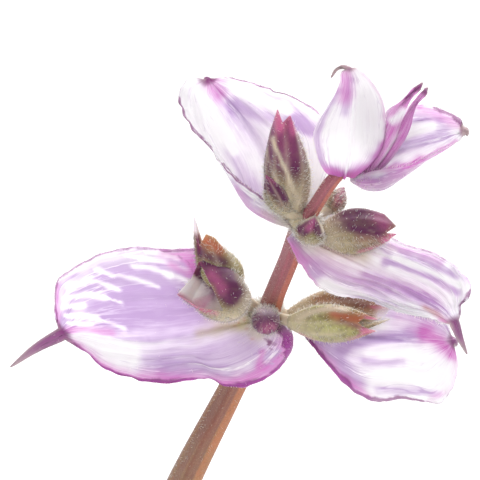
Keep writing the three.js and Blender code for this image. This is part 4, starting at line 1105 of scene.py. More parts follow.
            (FLUSH, 6, 0.7, [(420, 108), (440, 114), (456, 124)]),
            (FLUSH, 2.5, 0.5, [(395, 110), (420, 105)]),
            (FLUSH, 2.5, 0.8, [(364, 173), (384, 169), (408, 165), (437, 152), (456, 142)]),
            (FLUSH, 7, 0.6, [(360, 184), (380, 185), (398, 175), (420, 162)]),
            (SHADE, 8, 0.5, [(358, 180), (380, 181), (400, 171)]),
            (TAN, 4, 1.0, [(463, 127), (467, 134)]),
        ],
    },
}
TIP_BRACTLETS = {
    "bractlet_near": {
        "rib": [(366, 174, 12.4), (378, 150, 12.8), (388, 128, 12.8), (398, 110, 12.4), (409, 97, 12.2),
            (418, 88, 12.0)],
        "high": [(363, 172, 12.2), (374, 154, 12.0), (382, 134, 11.8), (385, 120, 11.8), (387, 111, 11.9),
            (400, 102, 12.0), (411, 91, 12.0), (418, 88, 12.0)],
        "low": [(369, 175, 12.2), (383, 158, 12.4), (395, 138, 12.2), (401, 122, 12.0), (406, 109, 12.0),
            (413, 96, 12.0), (418, 88, 12.0)],
        "cusp": [(418, 88, 12.0), (420, 86, 12.0), (422, 83, 12.0)],
        "cusp_half": 0.3, "bulge": (0.3, 0.3), "pleats": 3, "pleat_height": 0.06, "frill": 0.02,
        "ruffle": 0.0, "rim": 0.15, "seed": 131,
        "strokes": [
            (FLUSH, 14, 1.15, [(368, 168), (385, 132), (420, 86)]),
            (PLUM, 6, 0.2, [(366, 172), (380, 150), (388, 130)]),
            (PLUM, 3, 0.5, [(402, 105), (416, 90)]),
            (PLUM, 1.5, 0.5, [(387, 112), (400, 102), (420, 86)]),
            (FLUSH, 4.5, -1.0, [(392, 121), (403, 112)]),
        ],
    },
    "bractlet_far": {
        "rib": [(370, 176, 11.8), (388, 152, 12.0), (401, 131, 11.8), (410, 112, 11.6), (418, 100, 11.4),
            (425, 92, 11.2)],
        "high": [(367, 174, 11.6), (383, 152, 11.4), (395, 133, 11.2), (403, 117, 11.0), (414, 101, 11.0),
            (425, 92, 11.2)],
        "low": [(373, 177, 11.6), (390, 160, 11.4), (404, 141, 11.2), (411, 124, 11.0), (415, 110, 11.0),
            (420, 100, 11.1), (425, 92, 11.2)],
        "cusp": [(425, 92, 11.2), (426, 90, 11.1), (428, 88, 11.0)],
        "cusp_half": 0.3, "bulge": (0.3, 0.3), "pleats": 3, "pleat_height": 0.06, "frill": 0.02,
        "ruffle": 0.0, "rim": 0.15, "seed": 132,
        "strokes": [
            (FLUSH, 14, 1.25, [(372, 168), (392, 142), (426, 92)]),
            (PLUM, 4, 0.25, [(376, 172), (396, 148), (410, 124), (420, 102)]),
            (PLUM, 2, 0.4, [(398, 131), (405, 117), (416, 103)]),
        ],
    },
}
LOW_WHORL = [
    {
        "base": (232, 300, 2.2),
        "mouth": [(194, 216, 3.4), (199, 246, 4.0), (206, 234, 4.4), (215, 237, 4.2), (223, 249, 3.6),
            (219, 244, 2.0), (210, 238, 1.4), (202, 243, 1.6)],
        "foot": 0.8, "bulge": 1.5, "dusk": 0.5, "hair": 420, "seed": 101,
        "strokes": [
            (TAWNY, 8, 0.95, [(206, 241), (218, 250)]),
            (PURPLE, 5, 0.9, [(203, 256), (214, 258), (224, 263)]),
            (PURPLE, 4, 1.0, [(197, 236), (199, 252)]),
            (CLEAR, 6, 1.4, [(193, 215), (195, 227)]),
        ],
    },
    {
        "base": (247, 300, 3.0),
        "mouth": [(199, 261, 5.0), (191, 278, 4.4), (176, 295, 4.0), (198, 308, 5.2), (223, 311, 6.8),
            (214, 291, 7.2), (206, 275, 6.3)],
        "foot": 1.0, "bulge": 1.5, "wall": 0.22, "rib": 0.03, "dusk": 0.2, "hair": 380, "seed": 102,
        "strokes": [
            (PALE, 13, 0.75, [(222, 320), (238, 315), (248, 305)]),
            (PURPLE, 14, 1.5, [(207, 268), (223, 277), (231, 294)]),
            (PINK, 6, 0.6, [(212, 274), (222, 290)]),
            (PALE, 14, -1.0, [(212, 272), (226, 292)]),
            (PURPLE, 4, 1.0, [(195, 270), (202, 276)]),
            (PINK, 3, 1.0, [(177, 295), (198, 309), (216, 314)]),
        ],
    },
    {
        "base": (266, 323, 1.4),
        "mouth": [(262, 313, 5.9), (267, 311, 5.8), (270, 316, 5.9), (266, 320, 6.1), (261, 318, 6.1)],
        "foot": 0.8, "bulge": 1.1, "belly": 0.8, "gape": 0.2, "rib": 0.04, "dusk": 0.6, "hair": 190,
        "seed": 103,
        "strokes": [
            (PURPLE, 12, 1.8, [(256, 327), (274, 328)]),
            (PINK, 5, 0.6, [(264, 330), (272, 327)]),
            (PURPLE, 14, 0.7, [(265, 314)]),
            (CLEAR, 6, 0.5, [(259, 309), (271, 310)]),
        ],
    },
    {
        "base": (288, 322, 3.0),
        "mouth": [(352, 313, 5.2), (366, 316, 5.4), (358, 323, 5.8), (379, 320, 4.8), (362, 327, 5.0),
            (376, 331, 4.2), (356, 333, 3.6), (360, 326, 2.4), (350, 317, 2.8)],
        "foot": 0.7, "bulge": 1.55, "dusk": 0.0, "hair": 200, "seed": 104,
        "strokes": [
            (TAWNY, 6.5, 0.95, [(334, 313), (350, 318), (368, 321)]),
            (PALE, 9, 0.35, [(316, 333), (338, 338)]),
            (PURPLE, 2.5, 0.5, [(342, 322), (364, 328)]),
            (PINK, 3, 1.0, [(367, 318), (379, 320)]),
            (PINK, 3.5, 1.0, [(362, 330), (376, 331)]),
            (PINK, 2.5, 0.7, [(300, 335), (320, 346), (345, 344), (362, 334)]),
            (PALE, 3, 0.8, [(298, 318), (320, 310), (345, 310)]),
        ],
    },
    {
        "base": (288, 316, 0.8),
        "mouth": [(374, 299, 2.4), (391, 307, 2.0), (384, 316, 2.6), (390, 319, 1.6), (372, 322, 1.6),
            (376, 316, -0.4), (364, 300, 0.2)],
        "foot": 0.7, "bulge": 1.65, "dusk": 0.7, "hair": 560, "seed": 105,
        "strokes": [
            (TAWNY, 8, 0.5, [(320, 300), (350, 300), (370, 305)]),
            (PURPLE, 5, 0.5, [(340, 298), (366, 304)]),
            (CLEAR, 6, 0.95, [(380, 316), (390, 312)]),
            (PINK, 2, 0.7, [(372, 307), (391, 308)]),
        ],
    },
]
MID_WHORL = [
    {
        "base": (291, 218, 9.2),
        "mouth": [(277, 109, 10.6), (282, 123, 11.6), (290, 115, 11.4), (295, 131, 10.6), (293, 121, 8.6),
            (286, 128, 8.0), (275, 117, 8.4), (270, 130, 9.4)],
        "foot": 0.9, "bulge": 1.5, "belly": 0.85, "dusk": 0.8, "hair": 680, "seed": 111,
        "strokes": [
            (PURPLE, 17, 1.25, [(280, 126), (288, 160)]),
            (PURPLE, 8, 0.8, [(284, 124), (286, 146)]),
            (PINK, 16, 0.3, [(280, 120), (288, 150)]),
            (PINK, 5, 0.9, [(277, 110), (279, 128)]),
            (PINK, 4, 0.8, [(291, 116), (293, 132)]),
            (PURPLE, 6, 0.6, [(270, 138), (268, 170)]),
            (PALE, 2, 0.9, [(272, 139), (279, 156), (286, 171), (293, 188), (299, 204)]),
            (PALE, 1.6, 0.4, [(266, 150), (272, 172), (282, 196)]),
            (PURPLE, 9, 0.28, [(292, 146), (298, 178)]),
        ],
    },
    {
        "base": (288, 214, 10.6),
        "mouth": [(262, 171, 10.6), (268, 174, 10.9), (270, 178, 10.4), (264, 178, 10.0)],
        "foot": 0.6, "bulge": 1.15, "gape": 0.2, "dusk": 0.2, "hair": 300, "seed": 112,
        "strokes": [
            (PURPLE, 13, 1.4, [(264, 176), (274, 184), (284, 192)]),
            (PINK, 4, 0.5, [(264, 174), (276, 182)]),
        ],
    },
    {
        "base": (308, 241, 10.4),
        "mouth": [(314, 213, 11.6), (317, 214, 11.7), (316, 217, 12.0), (312, 217, 11.9)],
        "foot": 0.7, "bulge": 1.2, "belly": 0.65, "gape": 0.2, "rib": 0.03, "dusk": 0.3, "hair": 200,
        "seed": 113,
        "strokes": [
            (PURPLE, 8, 1.5, [(303, 229), (314, 222), (320, 229)]),
            (PINK, 4, 0.7, [(309, 228), (313, 222)]),
            (PALE, 2, 0.9, [(301, 223), (315, 213), (323, 230)]),
        ],
    },
    {
        "base": (318, 234, 9.0),
        "mouth": [(384, 214, 9.6), (396, 226, 10.2), (386, 233, 11.2), (397, 234, 10.0), (384, 243, 9.8),
            (390, 240, 8.6), (384, 232, 7.8), (386, 222, 8.2)],
        "foot": 0.9, "bulge": 1.35, "dusk": 0.8, "hair": 420, "seed": 114,
        "strokes": [
            (PURPLE, 15, 0.95, [(347, 216), (364, 213), (387, 219)]),
            (PALE, 12, -1.0, [(350, 218), (385, 222)]),
            (PURPLE, 5, 0.6, [(352, 229), (380, 231)]),
            # A painted highlight: a thin pale streak running along the purple top
            (PALE, 2, 0.5, [(338, 223), (356, 226), (374, 231)]),
            (PINK, 7, 0.45, [(378, 217), (385, 224)]),
            # A painted highlight along the upper edge of the purple
            (PALE, 2, 0.25, [(348, 214), (366, 215)]),
            (TAWNY, 7, 0.3, [(362, 238), (384, 237)]),
            (PURPLE, 8, 0.3, [(362, 238), (384, 237)]),
            (PINK, 3.5, 0.9, [(384, 241), (396, 232)]),
            (PINK, 2, 0.8, [(358, 252), (384, 245), (396, 230)]),
        ],
    },
    {
        "base": (327, 214, 5.4),
        "mouth": [(342, 184, 5.2), (347, 186, 5.4), (346, 191, 5.6), (341, 189, 5.0)],
        "foot": 0.5, "bulge": 0.95, "gape": 0.2, "dusk": 1.0, "hair": 260, "seed": 115,
        "strokes": [
            (PINK, 6, 0.8, [(343, 188), (338, 202)]),
        ],
    },
]


# Rows and columns of the tip's bracts, and how many hairs stand on the margins, the feet and the joints
BRACT_GRID = (112, 73)
MARGIN_HAIRS = 300
FOOT_HAIRS = 260
NODE_HAIRS = 900
CUSP_ROWS = 12
CUSP_AT = 0.86
STRETCHED = {"cusp_at": CUSP_AT, "rim": 0.6, "frill": 0.06, "ruffle": 0.14, "veil": 0.0}
BRACT_SKIN = 0.16
MARGIN_SKIN = 0.09


def crinkle(s, u, v):
    """Relief of a papery bract and its share of painted shade: lengthwise pleats whose number across the
    blade is fixed and whose place drifts along it, finer pleats between them, a groove over the midrib and a
    ruffle that grows towards the margin. Shade is painted where the pleats sink, and the ridges are painted
    lighter as highlights."""
    rng = np.random.default_rng(s["seed"])
    shift = rng.random(8)
    a = np.abs(v)
    reach = smooth((u - 0.1) / 0.4) * (0.3 + 0.7 * a) * (1 - 0.85 * smooth((u - 0.58) / 0.27))
    drift = 0.35 * np.sin(FULL_TURN * (0.9 * u + shift[0]))
    drift = drift + 0.2 * np.sin(FULL_TURN * (2.3 * u + shift[1] + v))
    rough = np.sin(FULL_TURN * (1.7 * u + shift[2] + 0.8 * v)) * np.sin(FULL_TURN * (1.1 * v + shift[3]))
    broad = pleat(s["pleats"] / 2 * v + drift + shift[4])
    fine = pleat(s["pleats"] * 1.2 * v + 1.6 * drift + shift[5], 0.85)
    wander = 2 * np.sin(FULL_TURN * 3.1 * u)
    ruffle = a**5 * np.sin(FULL_TURN * (11 * u + shift[6] + 0.3 * np.sign(v)) + wander)
    groove = -0.14 * bell(v, 0, 0.05) * (1 - u)
    relief = s["pleat_height"] * (reach * (0.6 + 0.4 * rough) * (broad + 0.35 * fine))
    return relief + s["ruffle"] * reach * ruffle + groove, -0.7 * relief


def stretched_grid(s, rows, columns):
    """A bract between its midrib and its margins, all three taken by equal shares of their lengths. Across
    each half it follows the parabola through the midrib, the margin and a line between them: one that is
    given, or the middle raised by the bulge. The cusp goes on along its own line and narrows to a point."""
    body = np.linspace(0, 1, rows)
    tail = np.linspace(0, 1, CUSP_ROWS + 1)[1:]
    rib, high, low = (even_curve(seen(s[key]), body) for key in ("rib", "high", "low"))
    side = unit(high[int(0.85 * rows)] - low[int(0.85 * rows)])
    grow = smooth((body - 0.86) / 0.14)[:, None] * s["cusp_half"] * side
    lift = np.sin(np.pi * body**0.8)[:, None] * OUT
    centre = even_curve(seen(s["cusp"]), tail)
    reach = ((1 - tail) ** 0.8 * s["cusp_half"] + EDGE_HALF)[:, None] * side
    edges, middles = [], []
    halves = ((high + grow, reach, "high_belly"), (low - grow, -reach, "low_belly"))
    for (edge, half, belly), bulge in zip(halves, s["bulge"]):
        middle = even_curve(seen(s[belly]), body) if belly in s else (rib + edge) / 2 + bulge * lift
        edges.append(np.vstack([edge, centre + half]))
        middles.append(np.vstack([middle, centre + half / 2]))
    share = np.concatenate([body * CUSP_AT, CUSP_AT + (1 - CUSP_AT) * tail])
    u, v = np.meshgrid(share, np.linspace(-1, 1, columns), indexing="ij")
    a = np.abs(v)[..., None]
    left = v[..., None] < 0
    rib = np.vstack([rib, centre])[:, None]
    edge, middle = (np.where(left, pair[0][:, None], pair[1][:, None]) for pair in (edges, middles))
    points = rib * (1 - a) * (1 - 2 * a) + middle * 4 * a * (1 - a) + edge * a * (2 * a - 1)
    rng = np.random.default_rng(s["seed"] + 1)
    jag = rng.normal(0, 1, (2, len(u)))
    jag = 0.5 * jag + 0.25 * np.roll(jag, 1, axis=1) + 0.25 * np.roll(jag, -1, axis=1)
    frill = np.where(left, jag[0][:, None, None], jag[1][:, None, None]) * a**10
    frill = frill * (1 - past_cusp(s, u))[..., None]
    return u, v, points + s["frill"] * frill * (unit(edge - rib + 1e-6) + 0.6 * OUT)


def add_bract(shape, s, rows, columns):
    """Adds a papery bract to a shape, and returns its shares u, its two skins and its normals. The skins lie
    half the thickness off the crinkled blade; a ridge stands under the midrib, and the cusp is a spine."""
    if "rib" in s:
        u, v, flat = stretched_grid(s, rows, columns)
        tints = stroke_tints(flat, s["strokes"])
    else:
        u, v = blade_grid(s, rows, columns)
        flat = blade_points(s, u, v)
        tints = painted(u, v, s["patches"])
    relief, shade = crinkle(s, u, v)
    middle = flat + grid_normals(flat) * relief[..., None]
    normal = grid_normals(middle)
    a = np.abs(v)
    past = past_cusp(s, u)
    half = (MARGIN_SKIN + (BRACT_SKIN - MARGIN_SKIN) * (1 - a**4)) / 2
    spine = 0.6 * s["cusp_half"] * smooth((u - s["cusp_at"] + 0.04) / 0.06) * (1 - past) * np.sqrt(1 - v**2)
    ridge = 0.3 * bell(v, 0, 0.035) * (1 - u) ** 0.8
    upper = middle + normal * (half + spine)[..., None]
    under = middle - normal * (half + ridge + spine)[..., None]
    # Painted shade in the pleats' grooves and painted highlights on their ridges, over a base lavender veil
    tints[..., SHADE] += shade + s["veil"]
    tints[..., PLUM] += smooth((a - 0.94) / 0.06) * (1 - past) * s["rim"]
    tints = np.clip(tints, 0, 1)
    end = smooth((u - s["cusp_at"] + 0.06) / 0.08)
    trim = np.stack([end, tints[..., PLUM], tints[..., TAN]], -1)
    shape.add_sheet(u, v, upper, under, paint=tints[..., :3], trim=trim)
    return u, upper, under, normal


def margin_roots(rng, middle, count):
    """Roots of hairs along both margins of a blade, and headings away from it and a little forward."""
    rows, columns = middle.shape[:2]
    at = rng.integers(3, rows - 2, count)
    left = rng.random(count) < 0.5
    edge = np.where(left, 0, columns - 1)
    inner = np.where(left, 2, columns - 3)
    roots = middle[at, edge]
    away = unit(roots - middle[at, inner])
    return roots, unit(away + 0.35 * unit(middle[at + 1, edge] - roots))


# Calyces

RIBS = 10
CALYX_RIB = 0.045
CALYX_WALL = 0.16
WIDEST = 0.5
AT_RIM = 0.7
# Teeth: where round the rim, length as a share of the calyx's and half width, angles in degrees
TEETH = [(0, 0.26, 50), (-52, 0.2, 34), (52, 0.2, 34), (150, 0.34, 34), (-150, 0.34, 34)]
BUD_TEETH = [(0, 0.16, 40), (-72, 0.16, 36), (72, 0.16, 36), (144, 0.16, 36), (-144, 0.16, 36)]


def ribbed(turn, power):
    """One on each rib of a calyx and nought between them: a power of a cosine."""
    return np.abs(np.cos(RIBS / 2 * turn)) ** power


def wall_rows(outer, inner):
    """Shares of the length up a calyx's outer wall and down its inner one, and a mark for the inner rows."""
    mark = np.repeat([0.0, 1.0], [len(outer), len(inner)])
    return np.concatenate([outer, inner])[:, None], mark[:, None]


def calyx_rings(s, rows, sides):
    """A calyx as rings of points, up its outer wall and down inside. Its radius is a power of a quarter sine
    up to the widest place and falls off with the square of the distance past it; ribs are a sharpened cosine
    round it; teeth are peaks of its length, and all past the mouth leans in by the closing share."""
    aim = unit(s["aim"])
    face = square_to(np.asarray(s["face"], float), aim)
    other = np.cross(aim, face)
    q, inside = wall_rows(np.linspace(0, 1, rows) ** 0.9, np.linspace(1, 0.12, rows // 2))
    turn = turns(sides)[None]
    reach = np.zeros_like(turn)
    for at, length, half in s["teeth"]:
        gap = np.abs((np.degrees(turn) - at + 180) % 360 - 180)
        reach = np.maximum(reach, length * np.clip(1 - gap / half, 0, 1) ** 1.15)
    grow = np.sin(np.pi / 2 * np.clip(q / WIDEST, 0, 1)) ** 0.7
    fall = np.clip((q - WIDEST) / (1 - WIDEST), 0, 1) ** 2
    radius = np.where(q < WIDEST, s["at_base"] + (1 - s["at_base"]) * grow, 1 - (1 - AT_RIM) * fall)
    far = q + reach * smooth((q - 0.5) / 0.5)
    lean = 1 - s["close"] * np.clip((far - 0.75) / 0.55, 0, 1) ** 1.3
    rib = 1 + CALYX_RIB * (ribbed(turn, 3) * 2 - 1) * smooth(q / 0.2)
    wall = CALYX_WALL * inside * (1 - smooth((q - 0.9) / 0.1) * 0.6)
    size = np.maximum(s["width"] / 2 * radius * rib * lean - wall, 0.03)
    axis = s["length"] * far + wall * (1 - far)
    points = s["base"] + aim * axis[..., None] + face * (size * np.cos(turn))[..., None]
    points = points + other * (size * np.sin(turn))[..., None]
    return (points, *np.broadcast_arrays(q, turn, inside, far))


def add_calyx(shape, hairs, s, rows, sides):
    """Adds one calyx and its hairs: purple from the mouth back, tawny on one side, pale ribs."""
    rng = np.random.default_rng(s["seed"])
    points, q, turn, inside, far = calyx_rings(s, rows, sides)
    rough = 0.12 * np.sin(5 * turn + 3 * rng.random()) + 0.1 * np.sin(9 * turn + 6 * q)
    purple = smooth((far - 0.71 + rough) / 0.45)
    tawny = s["tawny"] * smooth((far - 0.35) / 0.5) * smooth(0.5 + 0.8 * np.cos(turn))
    pale = 0.35 * ribbed(turn, 6) * smooth(q / 0.3)
    place_in = np.stack([q, turn / FULL_TURN, inside], -1)
    shape.add_tube(points, bell=place_in, paint=np.stack([purple, tawny, pale], -1), trim=(0.0, 0.0, 0.2))
    skin = wrapped(points[:rows])
    grow_hairs(hairs, rng, skin, ring_normals(skin), s["hair"], s["hair_kind"])


CUP = {"foot": 0.8, "bulge": 1.3, "belly": 1.0, "gape": 1.0, "wall": 0.15, "rib": 0.08}
CUP_FLOOR = 0.7
CUP_ROWS = 46
CUP_SIDES = 64


def cup_rings(s):
    """A calyx as rings of points between a small foot ring and a mouth that runs through given places,
    straight from tooth to notch, up its outer wall and down inside. Between them it swells along the foot's
    radii by the bulge times a half sine, and ribs stand out of it as a sharpened cosine."""
    base, mouth = seen([s["base"]])[0], seen(s["mouth"])
    middle = mouth.mean(axis=0)
    aim = unit(middle - base)
    face = square_to(OUT, aim)
    other = np.cross(aim, face)
    off = mouth - middle
    mouth = middle + off * s["gape"]
    at = np.arctan2(off @ other, off @ face) % FULL_TURN
    order = np.argsort(at)
    turn = turns(CUP_SIDES)
    rim = np.stack([np.interp(turn, at[order], mouth[order, k], period=FULL_TURN) for k in range(3)], -1)
    radial = face * np.cos(turn)[:, None] + other * np.sin(turn)[:, None]
    q, inside = wall_rows(np.linspace(0, 1, CUP_ROWS), np.linspace(1, CUP_FLOOR, CUP_ROWS // 3))
    rib = (ribbed(turn, 3) * 2 - 1) * np.sin(np.pi * q)
    swell = s["bulge"] * np.sin(np.pi * q ** s["belly"]) + s["rib"] * rib
    swell = swell - s["wall"] * inside * (1 - 0.7 * smooth((q - 0.85) / 0.15))
    points = (base + radial * s["foot"]) * (1 - q[..., None]) + rim * q[..., None]
    points = points + radial * swell[..., None]
    return (base, aim, points, *np.broadcast_arrays(q, turn, inside))


CUP_STALK = (1.8, 1.3, 1.5)
CUP_STALK_ROWS = 14
CUP_STALK_SIDES = 10
STALK_INSIDE = 0.6


def stalk_rings(start, end):
    """Rings of a straight round stalk between two places, whose width changes along it."""
    knots = [start, (start + end) / 2, end]
    t = np.linspace(0, 1, CUP_STALK_ROWS)
    along = curve_heading(knots, t)
    across = square_to(np.cross(along, [0.3, 0.5, 0.8]), along)
    other = np.cross(along, across)
    radius = np.interp(t, (0, 0.5, 1), CUP_STALK)[:, None, None] / 2
    turn = turns(CUP_STALK_SIDES)[None, :, None]
    ring = across[:, None] * np.cos(turn) + other[:, None] * np.sin(turn)
    return curve_points(knots, t)[:, None] + radius * ring


def add_cup(shape, hairs, s, joint):
    """Adds one calyx of the tip, painted with its strokes, and its hairs and its stalk from a joint."""
    s = {**CUP, **s}
    rng = np.random.default_rng(s["seed"])
    base, aim, points, q, turn, inside = cup_rings(s)
    tints = stroke_tints(points, s["strokes"])
    tints[..., PALE] += 4.0 * s["rib"] * ribbed(turn, 6) * np.sin(np.pi * q)
    tints = np.clip(tints, 0, 1)
    place_in = np.stack([q, turn / FULL_TURN, inside], -1)
    trim = np.stack([tints[..., PINK], tints[..., CLEAR], np.full(q.shape, s["dusk"])], -1)
    shape.add_tube(points, bell=place_in, paint=tints[..., :3], trim=trim)
    skin = wrapped(points[:CUP_ROWS])
    lean = unit(ring_normals(skin) + 0.35 * unit(np.gradient(skin, axis=0)))
    bare = 1 - 0.95 * wrapped(tints[:CUP_ROWS, :, PURPLE])
    grow_hairs(hairs, rng, skin, lean, int(0.2 * s["hair"]), CUP_GLAND, bare)
    grow_hairs(hairs, rng, skin, lean, int(2.3 * s["hair"]), CUP_HAIR, bare)
    stalk = stalk_rings(joint, base + aim * STALK_INSIDE)
    shape.add_tube(stalk, bell=(0.1, 0.0, 0.0), paint=(0.05, 0.0, 0.8), trim=(0, 0, 0.3))


NODE_ROWS = 12
NODE_SIDES = 32


def add_node(shape, centre, along, radius, height):
    """The swollen joint of a whorl: rings whose radius follows half a circle's root, knobbed by a cosine.
    Returns its places and outward headings, for hairs."""
    t = np.linspace(-1, 1, NODE_ROWS)
    turn = turns(NODE_SIDES)[None, :, None]
    across = square_to(np.cross(along, [0.2, 0.9, 0.3]), along)
    other = np.cross(along, across)
    round_side = (np.sqrt(np.clip(1 - t**2, 0.02, 1)) ** 0.6)[:, None, None]
    size = radius * round_side * (1 + 0.05 * np.cos(6 * turn))
    ring = across * np.cos(turn) + other * np.sin(turn)
    rings = (centre + along * (t * height / 2)[:, None])[:, None] + size * ring
    shape.add_tube(rings, bell=(0.1, 0.0, 0.0), paint=(0.0, 0.0, 0.35), trim=(0.0, 0.0, 0.2))
    skin = wrapped(rings)
    return skin, unit(skin - centre)


def add_whorl(shape, hairs, centre, along, radius, height, turn, length, hair, seed, grid):
    """Adds a joint and four equal calyces round it, each turned out and up."""
    add_node(shape, centre, along, radius, height)
    for k in range(4):
        out = square_to(direction(turn + 90 * k, 0), along)
        s = {
            "base": centre + out * (radius - 0.7), "aim": unit(out + 0.9 * along), "face": out,
            "length": length, "width": 0.5 * length, "at_base": 0.4, "close": 0.5, "teeth": TEETH,
            "tawny": 0.4 * (k % 2), "hair": hair, "hair_kind": CALYX_GLAND, "seed": seed + k,
        }
        add_calyx(shape, hairs, s, *grid)


# The whorls of the photographed tip: name, node, centre, radius, height and calyces
TIP_WHORLS = [
    ("calyces_low", "node1", on_spray(0.25, 0.6, 0.5), 2.2, 2.0, LOW_WHORL),
    ("calyces_mid", "node2", on_spray(4.4, 11.2, 9.1), 1.9, 1.8, MID_WHORL),
]

# The youngest bud at the very tip
TIP_BUD = {
    "base": on_spray(8.1, 16.4, 12.4), "aim": spray(0.5, 1, 0.1), "face": spray(0, 0, 1), "length": 4.6,
    "width": 2.2, "at_base": 0.3, "close": 0.9, "tawny": 0.0, "teeth": BUD_TEETH, "hair": 120,
    "hair_kind": BUD_GLAND, "seed": 121,
}
BUD_GRID = (40, 60)

# Bracts of the other whorls
PLAIN_BRACT = {
    **BLADE, "cusp_at": 0.84, "cusp_half": 0.5, "bend": -34, "cusp_bend": -30, "wide": 0.42, "at_base": 0.2,
    "rise": 0.6, "point": 2.4, "blunt": 0.6, "fold": 8, "cup": 22, "wave": 0.4, "waves": 2, "pleats": 8,
    "pleat_height": 0.3, "rim": 0.7, "ruffle": 0.16, "veil": 0.4,
}
# A bract at a branch's closed top
TOP_BRACT = {
    **PLAIN_BRACT, "length": 13, "width": 9, "bend": 30, "cusp_bend": -40, "fold": 6, "cup": 44, "wave": 0,
    "pleats": 5, "pleat_height": 0.12,
}
# Patches of paint: tint, middle in u and v, spread in u and v, and strength
LILAC_PATCHES = [
    (SHADE, 0.35, 0.0, 0.3, 0.7, 0.6), (FLUSH, 0.8, 0.0, 0.1, 0.6, 0.6), (GREEN, 0.0, 0.0, 0.14, 0.7, 0.9),
]
GREEN_PATCHES = [
    (GREEN, 0.25, 0.0, 0.3, 0.9, 0.9), (GREEN, 0.6, 0.0, 0.3, 0.25, 0.5), (SHADE, 0.6, 0.0, 0.3, 0.8, 0.5),
    (FLUSH, 0.8, 0.0, 0.14, 0.8, 0.5),
]
# Name, slot, station, heading, rise, length, width, patches
LOWER_BRACTS = [
    ("bract_branch_a1", "green_bract", "branchesA", -10, 22, 38, 27, GREEN_PATCHES),
    ("bract_branch_a2", "green_bract", "branchesA", 170, 20, 38, 27, GREEN_PATCHES),
    ("bract_branch_b1", "papery_bract", "branchesB", 80, 20, 33, 25, LILAC_PATCHES),
    ("bract_branch_b2", "papery_bract", "branchesB", 260, 24, 33, 25, LILAC_PATCHES),
    ("bract_c1", "papery_bract", "nodeC", -10, 14, 31, 24, LILAC_PATCHES),
    ("bract_c2", "papery_bract", "nodeC", 170, 10, 31, 24, LILAC_PATCHES),
    ("bract_d1", "papery_bract", "nodeD", 78, -6, 28, 22, LILAC_PATCHES),
    ("bract_d2", "papery_bract", "nodeD", 258, 8, 29, 22, LILAC_PATCHES),
]
# Name, station, radius of the joint and length of the calyces
LOWER_CALYCES = [("calyces_c", "nodeC", 3.4, 8.5), ("calyces_d", "nodeD", 3.2, 8)]
# Rows and columns of the grids
BRACTLET_GRID = (60, 41)
LOWER_BRACT_GRID = (50, 35)
BRANCH_BRACT_GRID = (28, 19)
LOWER_CALYX_GRID = (26, 40)
BRANCH_CALYX_GRID = (20, 30)


def plain_bract(centre, offset, heading, rise, length, width, patches, seed):
    """A bract that leaves its ring along a heading."""
    return {
        **PLAIN_BRACT, "base": centre + direction(heading, 0) * offset, "aim": direction(heading, rise),
        "face": direction(heading, rise + 90), "length": length, "width": width, "patches": patches,
        "seed": seed,
    }


# Leaves, pot and soil

LEAF_ROWS = 66
LEAF_COLUMNS = 33
LEAF_SKIN = 0.7
LEAF_VEINS = 9
LEAF_TEETH = 17


def add_leaf(shape, s):
    """Adds a leaf. Side veins follow lines on which the way along less a share of the way out is even; the
    blade sinks along them and swells in puckers between, and its edge is finely toothed. The stalk is half
    an ellipse above and below, which thins into the ridge under the midrib."""
    u, v = blade_grid(s, LEAF_ROWS, LEAF_COLUMNS)
    a = np.abs(v)
    q = np.clip((u - s["stalk"]) / (1 - s["stalk"]), 0, 1)
    on_blade = smooth((u - s["stalk"]) / 0.02)
    phase = LEAF_VEINS * (q**0.9 - 0.34 * a**1.25) + np.where(v < 0, 0.3, 0)
    off_vein = np.abs((phase + 0.5) % 1 - 0.5)
    vein = bell(off_vein, 0, 0.07) * (1 - 0.5 * a) * on_blade
    rib = bell(v, 0, 0.04)
    small = np.abs(np.sin(FULL_TURN * (2.1 * phase))) * np.abs(np.sin(FULL_TURN * (5.5 * a + 0.6 * phase)))
    swell = smooth(off_vein / 0.3) * (0.5 + 0.5 * small)
    relief = on_blade * (0.55 * swell * (1 - a**6) - 0.45 * vein * (1 - a**4)) - 0.5 * rib * on_blade
    points = blade_points(s, u, v)
    middle_line = points[:, LEAF_COLUMNS // 2][:, None]
    tooth = 1 + 0.022 * np.abs(np.sin(FULL_TURN * LEAF_TEETH * q)) * a**6 * on_blade
    points = middle_line + (points - middle_line) * tooth[..., None]
    points = points + grid_normals(points) * relief[..., None]
    normal = grid_normals(points)
    round_stalk = np.sqrt(np.clip(1 - v**2, 0, 1)) * (1 - smooth((u - s["stalk"] + 0.02) / 0.05))
    ridge = 1.7 * bell(v, 0, 0.07) * np.clip(1 - u, 0, 1) ** 0.7 * on_blade + 0.35 * vein * (1 - u)
    upper = points + normal * (LEAF_SKIN / 2 + 0.7 * round_stalk)[..., None]
    under = points - normal * (LEAF_SKIN / 2 + 1.0 * round_stalk + ridge)[..., None]
    paint = np.stack([np.maximum(vein * 0.8, rib), swell, np.zeros_like(u)], -1)
    return shape.add_sheet(u, v, upper, under, paint=paint)


# The pot's section as radii and heights
POT_FOOT = [(42.2, 0), (43.4, 0.5), (44.0, 1.8)]
POT_SHOULDER = [(58.6, 84.3), (61.5, 84.5), (62.6, 84.9), (63.1, 85.8)]
POT_INSIDE = [
    (59.3, 106), (59.0, 99), (58.6, 88), (57.6, 86.4), (53.2, 84.4), (52.4, 83), (45.6, 44), (40, 9),
    (38.6, 7.3),
]
WAIST = 84.0
RIM_HEIGHT = 110.0
POT_SIDES = 120
DRAIN_SIDES = 40
DRAIN_CIRCLE = 24.0
DRAIN_HOLES = (45, 135, 225, 315)
DRAIN_DEPTH = (-5.0, 12.0)
# The drills are turned a little, so that their corners miss the foot's radial edges
DRAIN_TWIST = math.radians(4.5)


